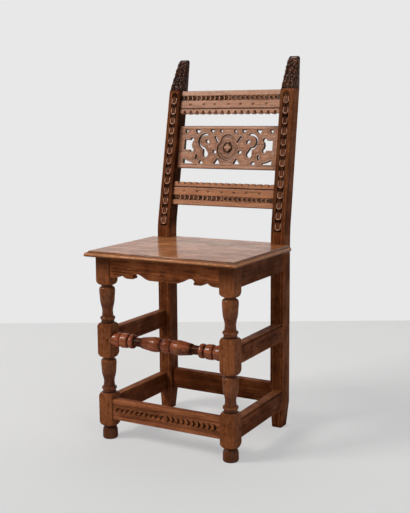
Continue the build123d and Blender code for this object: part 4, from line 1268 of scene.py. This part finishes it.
def fine_copy(node, name, place, voxel):
    """An even fine mesh of a CAD node in the coordinates of a plane, with its points in
    millimetres and their normals."""
    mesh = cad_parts[node].data.copy()
    mesh.materials.clear()
    mesh.transform(place.inverted())
    face_outwards(mesh)
    holder = linked(name + "_holder", mesh)
    modifier = holder.modifiers.new("Even", "REMESH")
    modifier.mode = "VOXEL"
    modifier.voxel_size = voxel
    graph = bpy.context.evaluated_depsgraph_get()
    graph.update()
    fine = bpy.data.meshes.new_from_object(holder.evaluated_get(graph))
    bpy.data.objects.remove(holder)
    points = np.zeros(len(fine.vertices) * 3)
    fine.vertices.foreach_get("co", points)
    normals = np.zeros(len(fine.vertices) * 3)
    fine.vertices.foreach_get("normal", normals)
    return fine, points.reshape(-1, 3) / MM, normals.reshape(-1, 3)


def wall_distance(points, normals, highest=math.inf):
    """Distance of each point, seen from the front, to the nearest cut edge under a height."""
    walls = points[(abs(normals[:, 2]) < WALL_TILT) & (points[:, 1] < highest)]
    tree = KDTree(len(walls))
    for index, point in enumerate(walls):
        tree.insert((point[0], point[1], 0), index)
    tree.balance()
    return np.array([tree.find((p[0], p[1], 0))[2] for p in points])


def keep_fine(fine, name, points, place, attributes):
    """Writes moved points back to a fine mesh and makes it a piece in the chair's frame."""
    fine.vertices.foreach_set("co", (points * MM).ravel())
    fine.transform(place)
    store(fine, attributes)
    fine.name = name
    fine.update()
    return shaded(fine, name, 60.0)


ROSETTE_RADIUS = 14.0
PIERCED_BORDER = 11.0
PIERCED_PLAIN_END = 143.0
PIERCED_FRAME_END = 146.0


class ChairPiercedRail(bpy.types.Operator):
    """Carve the pierced rail: rolled strap edges, scratched lines and a rosette"""

    bl_idname = "chair.pierced_rail"
    bl_label = "Pierced Rail"

    def execute(self, context):
        middle = (along(PIERCED_TOP) + along(PIERCED_BOTTOM)) / 2
        half = (along(PIERCED_TOP) - along(PIERCED_BOTTOM)) / 2
        place = RAKED @ Matrix.Translation((0, middle * MM, -PIERCED_SETBACK * MM))
        fine, points, normals = fine_copy("pierced_rail", "carved_pierced_rail", place,
                                          context.scene.chair_carving.voxel)
        x, y, out = points.T
        facing = normals[:, 2] > FACING_TILT
        gap = wall_distance(points, normals)

        # two lines scratched along the openings, and one along the plain border
        inner = half - PIERCED_BORDER
        border = (abs(y) > inner - 1) | (abs(x) > PIERCED_PLAIN_END)
        line = ridge(gap, 4.4, 0.75) * ~border
        twice = ridge(gap, 7.4, 0.7) * ~border * 0.8
        frame_line = np.maximum(ridge(abs(y) - inner, 1.5, 0.8),
                                ridge(abs(x), PIERCED_FRAME_END, 0.8))

        # the rosette in the middle: four petals parted by cuts, round a heart
        swing = np.arctan2(y, x)
        radius = np.hypot(x, y)
        rosette = radius < ROSETTE_RADIUS
        petal = np.clip(abs(np.cos(2 * swing)) ** 0.5 * 12.5 - radius, 0, 3) / 3
        heart = np.clip(1 - (radius / 3.4) ** 2, 0, 1)
        flower = np.where(rosette, 1 - np.maximum(petal, heart), 0)
        split = ridge(np.minimum(abs(x), abs(y)), 0, 0.55) * (radius > 4) * rosette
        ring = ridge(radius, ROSETTE_RADIUS, 0.9)

        cut = 0.85 * np.maximum(line, np.maximum(twice, frame_line)) * ~rosette
        rolled = 1.5 * np.clip(1 - gap / 3.2, 0, 1) ** 2
        depth = rolled + cut + 1.9 * flower + 0.5 * split + 0.15 * waver(x, y * 3, 6)
        out = np.where(facing, out - depth, out)

        sunk = facing & (out < -1.0)
        # painted shade along the edges of the openings, and darker where the face is sunk
        rim = 0.70 * ridge(gap, 0, 1.1)
        shade = 0.85 * cut + 0.22 * flower + 0.20 * sunk + 0.6 * split + 0.7 * ring + rim
        # painted shade on the cut walls inside the openings
        walls = abs(normals[:, 2]) < 0.6
        hollow = np.where(walls, 0.90 + 0.10 * smooth(0, 3, -out), np.where(facing, shade, 0))
        wear = np.where(facing, 0.20 + 0.6 * ridge(gap, 2.2, 1.4), 0)
        wear = np.where(facing & rosette, np.maximum(wear, 0.6 * petal), wear)
        wear = wear * (1 - np.clip(hollow, 0, 1))
        points[:, 2] = out
        piece = keep_fine(fine, "carved_pierced_rail", points, place,
                          {"hollow": hollow, "wear": wear})
        dress(piece, bpy.data.materials["back wood"], stands_for=["pierced_rail"])
        return {"FINISHED"}


SHAPED_EDGE = 28.0  # the apron's shaped lower edge ends this far over its lowest point
LEAF_HEIGHT = 22.0
LEAF_SIDE = 4.4
# the four lobes of the apron's leaf: side, place over the leaf's middle, and tilt
LEAF_LOBES = ((-1, 5, 0.8), (1, 5, 0.8), (-1, -5, 0.5), (1, -5, 0.5))


def apron_leaf(x, y):
    """The lobes and the stem of the apron's small leaf, y over the leaf's middle."""
    stem = ridge(x, 0, 0.9) * (abs(y) < 13)
    lobes = np.zeros_like(x)
    for side, lift, tilt in LEAF_LOBES:
        aside, above = x * side - LEAF_SIDE, y - lift
        a = aside * math.cos(tilt) + above * math.sin(tilt)
        b = -aside * math.sin(tilt) + above * math.cos(tilt)
        lobes = np.maximum(lobes, np.clip(1 - (a / 5.4) ** 2 - (b / 2.8) ** 2, 0, 1))
    return lobes, stem


class ChairApron(bpy.types.Operator):
    """Carve the front apron: worn edges, scratched lines and a small leaf"""

    bl_idname = "chair.apron"
    bl_label = "Front Apron"

    def execute(self, context):
        place = Matrix.Translation((0, APRON_LOW[1] * MM, 0)) @ FACING_FRONT
        fine, points, normals = fine_copy("front_apron", "carved_apron", place,
                                          context.scene.chair_carving.voxel)
        x, y, out = points.T
        facing = normals[:, 2] > FACING_TILT
        gap = wall_distance(points, normals, APRON_LOW[2] + SHAPED_EDGE)
        below_seat = y < APRON_HIGH[2] - 9
        rolled = 1.3 * np.clip(1 - gap / 2.4, 0, 1) ** 2 * below_seat
        line = ridge(gap, 5.2, 0.7) * below_seat * (abs(x) < 150)
        lobes, stem = apron_leaf(x, y - (APRON_LOW[2] + LEAF_HEIGHT))
        depth = rolled + 0.6 * line + 1.3 * lobes**0.6 + 0.6 * stem + 0.15 * waver(x, y * 3, 8)
        hollow = np.where(facing, 0.55 * line + 0.85 * lobes + 0.6 * stem, 0)
        # painted shadow of the seat's overhang along the top of the apron
        hollow = np.maximum(hollow, 0.55 * smooth(APRON_HIGH[2] - 7, APRON_HIGH[2], y))
        wear = np.where(facing, 0.6 * ridge(gap, 1.3, 1.2) * below_seat, 0)
        wear = wear * (1 - np.clip(hollow, 0, 1))
        points[:, 2] = np.where(facing, out - depth, out)
        piece = keep_fine(fine, "carved_apron", points, place, {"hollow": hollow, "wear": wear})
        dress(piece, bpy.data.materials["apron wood"], stands_for=["front_apron"])
        return {"FINISHED"}


# ---------------------------------------------------------------- lower front stretcher
STRETCHER_BOTTOM = 56.5
STRETCHER_TOP = 111.0
CUT_PITCH = 15.0
CUT_COUNT = 10
CUT_BAND = 17.0
# the two lines along each side of the band: distance from its middle, width and depth
STRETCHER_LINES = ((15.5, 0.9, 1.0), (12.2, 0.8, 0.8))


class ChairFrontStretcher(bpy.types.Operator):
    """Carve the lower front stretcher and the band along it"""

    bl_idname = "chair.front_stretcher"
    bl_label = "Lower Front Stretcher"

    def execute(self, context):
        half = LEG_LOW[0] + TUCK
        middle = (STRETCHER_BOTTOM + STRETCHER_TOP) / 2
        x, y = np.meshgrid(np.linspace(-half, half, 322),
                           np.linspace(STRETCHER_BOTTOM, STRETCHER_TOP, 96))
        off = abs(y - middle)
        reach = CUT_PITCH * CUT_COUNT
        band = (1 - smooth(CUT_BAND / 2 - 0.4, CUT_BAND / 2 + 0.4, off)) * (
            1 - smooth(reach - 0.2, reach + 0.6, abs(x)))
        line = np.zeros_like(x)
        for place, width, share in STRETCHER_LINES:
            line = np.maximum(line, share * ridge(off, place, width))
        edge = np.minimum(y - STRETCHER_BOTTOM, STRETCHER_TOP - y)
        rolled = 1.6 * np.clip(1 - edge / 1.8, 0, 1) ** 2
        depth = band * (PANEL_DEPTH + 0.15 * rough_cut(x, y)) + 1.1 * line + rolled
        depth = depth + 0.16 * waver(x, y * 3, 9)
        hollow = np.clip(0.96 * band + 0.6 * line, 0, 1)
        wear = np.clip(0.75 * ridge(edge, 1.2, 1.5) + 0.45, 0, 1) * (1 - hollow)
        piece = slab("carved_front_stretcher", x, y, -depth, -STRETCHER_THICKNESS,
                     {"hollow": hollow, "wear": wear}, UPRIGHT)
        dress(piece, bpy.data.materials["front wood"], stands_for=["lower_front_stretcher"])
        height = CUT_BAND - 0.2
        rise = PANEL_DEPTH - 0.1
        units = {"right": crescent_cut("crescent_unit", CUT_PITCH, height, rise),
                 "left": leaf_cut("leaf_unit", CUT_PITCH, height, rise)}
        for name, side in SIDES:
            first = UPRIGHT @ Vector((side * CUT_PITCH / 2 * MM, middle * MM, -PANEL_DEPTH * MM))
            step = Vector((side * CUT_PITCH * MM, 0, 0))
            carved_row(f"front_stretcher_carving_{name}", units[name], CUT_COUNT, first, step,
                       UPRIGHT_TURN, "front wood")
            bpy.data.objects.remove(units[name])
        return {"FINISHED"}


# ---------------------------------------------------------------- the plain joinery
SOLID_WEAR = 0.7  # the solids' worn edges, as a share of the edge wear
WORN_ANGLE = math.radians(40)  # an edge sharper than this is worn


def solid_wood(name, finish):
    """The wood of a node that keeps its solid."""
    woods = bpy.data.materials
    if name.startswith("seat"):
        return woods["seat wood"]
    if "pegs" in name:
        return woods["peg wood"]
    if "leg" in name:
        return woods["leg wood"]
    if name == "turned_stretcher":
        return woods["spindle wood"]
    if "rear" in name:
        return woods["rail wood"]
    if "side" not in name:
        return woods["post wood"]
    low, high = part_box(name)
    label = name.replace("_left", "").replace("_right", "").replace("_", " ")
    marks = rail_marks(max(-low.x, high.x), low.z, high.z)
    return woods.get(label) or wood(label, "deep", finish, marks)


class ChairFrame(bpy.types.Operator):
    """Make the wood finishes and dress the pieces that keep their solids"""

    bl_idname = "chair.frame"
    bl_label = "Joinery Finish"

    def execute(self, context):
        materials()
        for name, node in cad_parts.items():
            node.data.materials.clear()
            node.data.materials.append(solid_wood(name, context.scene.chair_finish))
            if "pegs" not in name:
                weld = node.modifiers.new("Weld", "WELD")
                weld.merge_threshold = SAME_PLACE
                bevel = node.modifiers.new("Worn edges", "BEVEL")
                bevel.width = context.scene.chair_carving.edge_round * SOLID_WEAR
                bevel.segments = 2
                bevel.limit_method = "ANGLE"
                bevel.angle_limit = WORN_ANGLE
                bevel.harden_normals = False
        return {"FINISHED"}


# ---------------------------------------------------------------- stage
CAMERA_PLACE = Vector((1.1876, -2.1011, 0.8507))
CAMERA_TURN = math.radians(29.208)
CAMERA_PITCH = math.radians(8.706)
CAMERA_ROLL = math.radians(-0.432)
FOCAL_PIXELS = 919.05
SENSOR = 36.0
IMAGE_HEIGHT = 513
MIDDLE_ROW = 253.81
WALL_DISTANCE = 3.70
FLOOR_HALF, FLOOR_DEPTH, WALL_HEIGHT = 12.0, 12.0, 9.0
# share of the floor's and the wall's brightness that is their own, and that waxed faces mirror
FLOOR_GLOW, FLOOR_MIRRORED = 0.52, 0.2
WALL_GLOW, WALL_MIRRORED = 1.0, 0.7
# each soft light: place, size and tint
LIGHTS = {
    "key": ((-2.0, -2.2, 2.7), 1.2, (1.0, 0.98, 0.95)),
    "fill": ((2.6, -1.4, 1.5), 1.8, (1.0, 1.0, 1.0)),
    "top": ((-0.3, 0.9, 2.6), 1.6, (1.0, 1.0, 1.0)),
}
LIGHT_AIM = Vector((0, 0, 0.5))


def pale(name, colour, glow, mirrored):
    """A pale stage material: part of its brightness is its own, the rest takes light. The
    chair's waxed faces mirror a share of it, and from behind it lets the view through."""
    material = bpy.data.materials.new(name)
    tree = Tree.of(material)
    matt = tree.add("ShaderNodeBsdfDiffuse", {}, {"Color": (*colour, 1), "Roughness": 0.9})
    flat = tree.add("ShaderNodeEmission", {}, {"Color": (*colour, 1), "Strength": 1.0})
    path = tree.add("ShaderNodeLightPath")
    seen = (path * glow).most(path.out("Is Glossy Ray") * mirrored)
    both = tree.add("ShaderNodeMixShader", {}, {0: seen, 1: matt, 2: flat})
    behind = tree.add("ShaderNodeNewGeometry").out("Backfacing")
    clear = tree.add("ShaderNodeBsdfTransparent")
    shown = tree.add("ShaderNodeMixShader", {}, {0: behind, 1: both, 2: clear})
    tree.add("ShaderNodeOutputMaterial", {}, {"Surface": shown})
    return material


def plane_piece(name, corners, material):
    """A flat stage piece from its corners in metres."""
    mesh = bpy.data.meshes.new(name)
    mesh.from_pydata([tuple(corner) for corner in corners], [], [tuple(range(len(corners)))])
    mesh.materials.append(material)
    piece = linked(name, mesh)
    return piece


def soft_light(name, power):
    """A square soft light at its place, turned to the chair."""
    place, size, tint = LIGHTS[name]
    data = bpy.data.lights.new(name, "AREA")
    data.shape = "SQUARE"
    data.size = size
    data.energy = power
    data.color = tint
    light = linked(name, data)
    light.location = place
    light.rotation_euler = (LIGHT_AIM - Vector(place)).to_track_quat("-Z", "Y").to_euler()


def room(strength, seen_strength):
    """A world of even light, that shows its own brightness to the camera."""
    world = bpy.data.worlds.new("room")
    tree = Tree.of(world)
    seen = tree.add("ShaderNodeLightPath")
    sky = tree.add("ShaderNodeBackground", {}, {
        "Color": (1, 1, 1, 1), "Strength": strength + seen * (seen_strength - strength)})
    tree.add("ShaderNodeOutputWorld", {}, {"Surface": sky})
    return world


def camera():
    """The camera at its place, turned, tipped and rolled by its angles."""
    right = Vector((math.cos(CAMERA_TURN), math.sin(CAMERA_TURN), 0))
    forward = Vector((-math.sin(CAMERA_TURN) * math.cos(CAMERA_PITCH),
                      math.cos(CAMERA_TURN) * math.cos(CAMERA_PITCH),
                      -math.sin(CAMERA_PITCH)))
    up = right.cross(forward)
    side = right * math.cos(CAMERA_ROLL) + up * math.sin(CAMERA_ROLL)
    above = up * math.cos(CAMERA_ROLL) - right * math.sin(CAMERA_ROLL)
    turn = Matrix((side, above, -forward)).transposed()
    data = bpy.data.cameras.new("camera")
    data.sensor_width = SENSOR
    data.lens = FOCAL_PIXELS * SENSOR / IMAGE_HEIGHT
    data.shift_y = -(IMAGE_HEIGHT / 2 - MIDDLE_ROW) / IMAGE_HEIGHT
    piece = linked("camera", data)
    piece.matrix_world = Matrix.Translation(CAMERA_PLACE) @ turn.to_4x4()
    return piece


class ChairStage(bpy.types.Operator):
    """Set up the floor, the wall, the lights and the camera"""

    bl_idname = "chair.stage"
    bl_label = "Stage"

    def execute(self, context):
        stage = context.scene.chair_stage
        ahead = Vector((-math.sin(CAMERA_TURN), math.cos(CAMERA_TURN), 0))
        foot = Vector((CAMERA_PLACE.x, CAMERA_PLACE.y, 0)) + ahead * WALL_DISTANCE
        aside = Vector((math.cos(CAMERA_TURN), math.sin(CAMERA_TURN), 0)) * FLOOR_HALF
        near = ahead * FLOOR_DEPTH
        high = Vector((0, 0, WALL_HEIGHT))
        plane_piece("floor", (foot + aside, foot - aside, foot - aside - near,
                              foot + aside - near),
                    pale("floor paint", stage.floor, FLOOR_GLOW, FLOOR_MIRRORED))
        plane_piece("wall", (foot - aside, foot + aside, foot + aside + high,
                             foot - aside + high),
                    pale("wall paint", stage.wall, WALL_GLOW, WALL_MIRRORED))
        for name in LIGHTS:
            soft_light(name, getattr(stage, name))
        context.scene.world = room(stage.world, stage.wall[0])
        context.scene.camera = camera()
        context.scene.view_settings.view_transform = "Standard"
        return {"FINISHED"}


# ---------------------------------------------------------------- panel and registering
STEPS = (
    ChairFrame, ChairPosts, ChairHusks, ChairBackRails, ChairGouges, ChairPiercedRail,
    ChairApron, ChairFrontStretcher, ChairStage,
)


class ChairPanel(bpy.types.Panel):
    """Lists the chair's steps and settings"""

    bl_idname = "VIEW3D_PT_wainscot_chair"
    bl_label = "Wainscot Chair"
    bl_space_type = "VIEW_3D"
    bl_region_type = "UI"
    bl_category = "Wainscot Chair"

    def draw(self, context):
        layout = self.layout
        for step in STEPS:
            layout.operator(step.bl_idname)
        scene = context.scene
        for group in (scene.chair_carving, scene.chair_finish, scene.chair_stage):
            box = layout.box()
            for key in group.__annotations__:
                box.prop(group, key)


SETTINGS = (ChairCarvingSettings, ChairFinishSettings, ChairStageSettings)


def register():
    for kind in (*SETTINGS, *STEPS, ChairPanel):
        bpy.utils.register_class(kind)
    bpy.types.Scene.chair_carving = PointerProperty(type=ChairCarvingSettings)
    bpy.types.Scene.chair_finish = PointerProperty(type=ChairFinishSettings)
    bpy.types.Scene.chair_stage = PointerProperty(type=ChairStageSettings)


def unregister():
    del bpy.types.Scene.chair_carving
    del bpy.types.Scene.chair_finish
    del bpy.types.Scene.chair_stage
    for kind in (ChairPanel, *STEPS[::-1], *SETTINGS[::-1]):
        bpy.utils.unregister_class(kind)


def main():
    register()
    for step in STEPS:
        area, action = step.bl_idname.split(".")
        if getattr(getattr(bpy.ops, area), action)() != {"FINISHED"}:
            raise RuntimeError(f"{step.bl_label} did not finish")


if __name__ == "__main__":
    main()
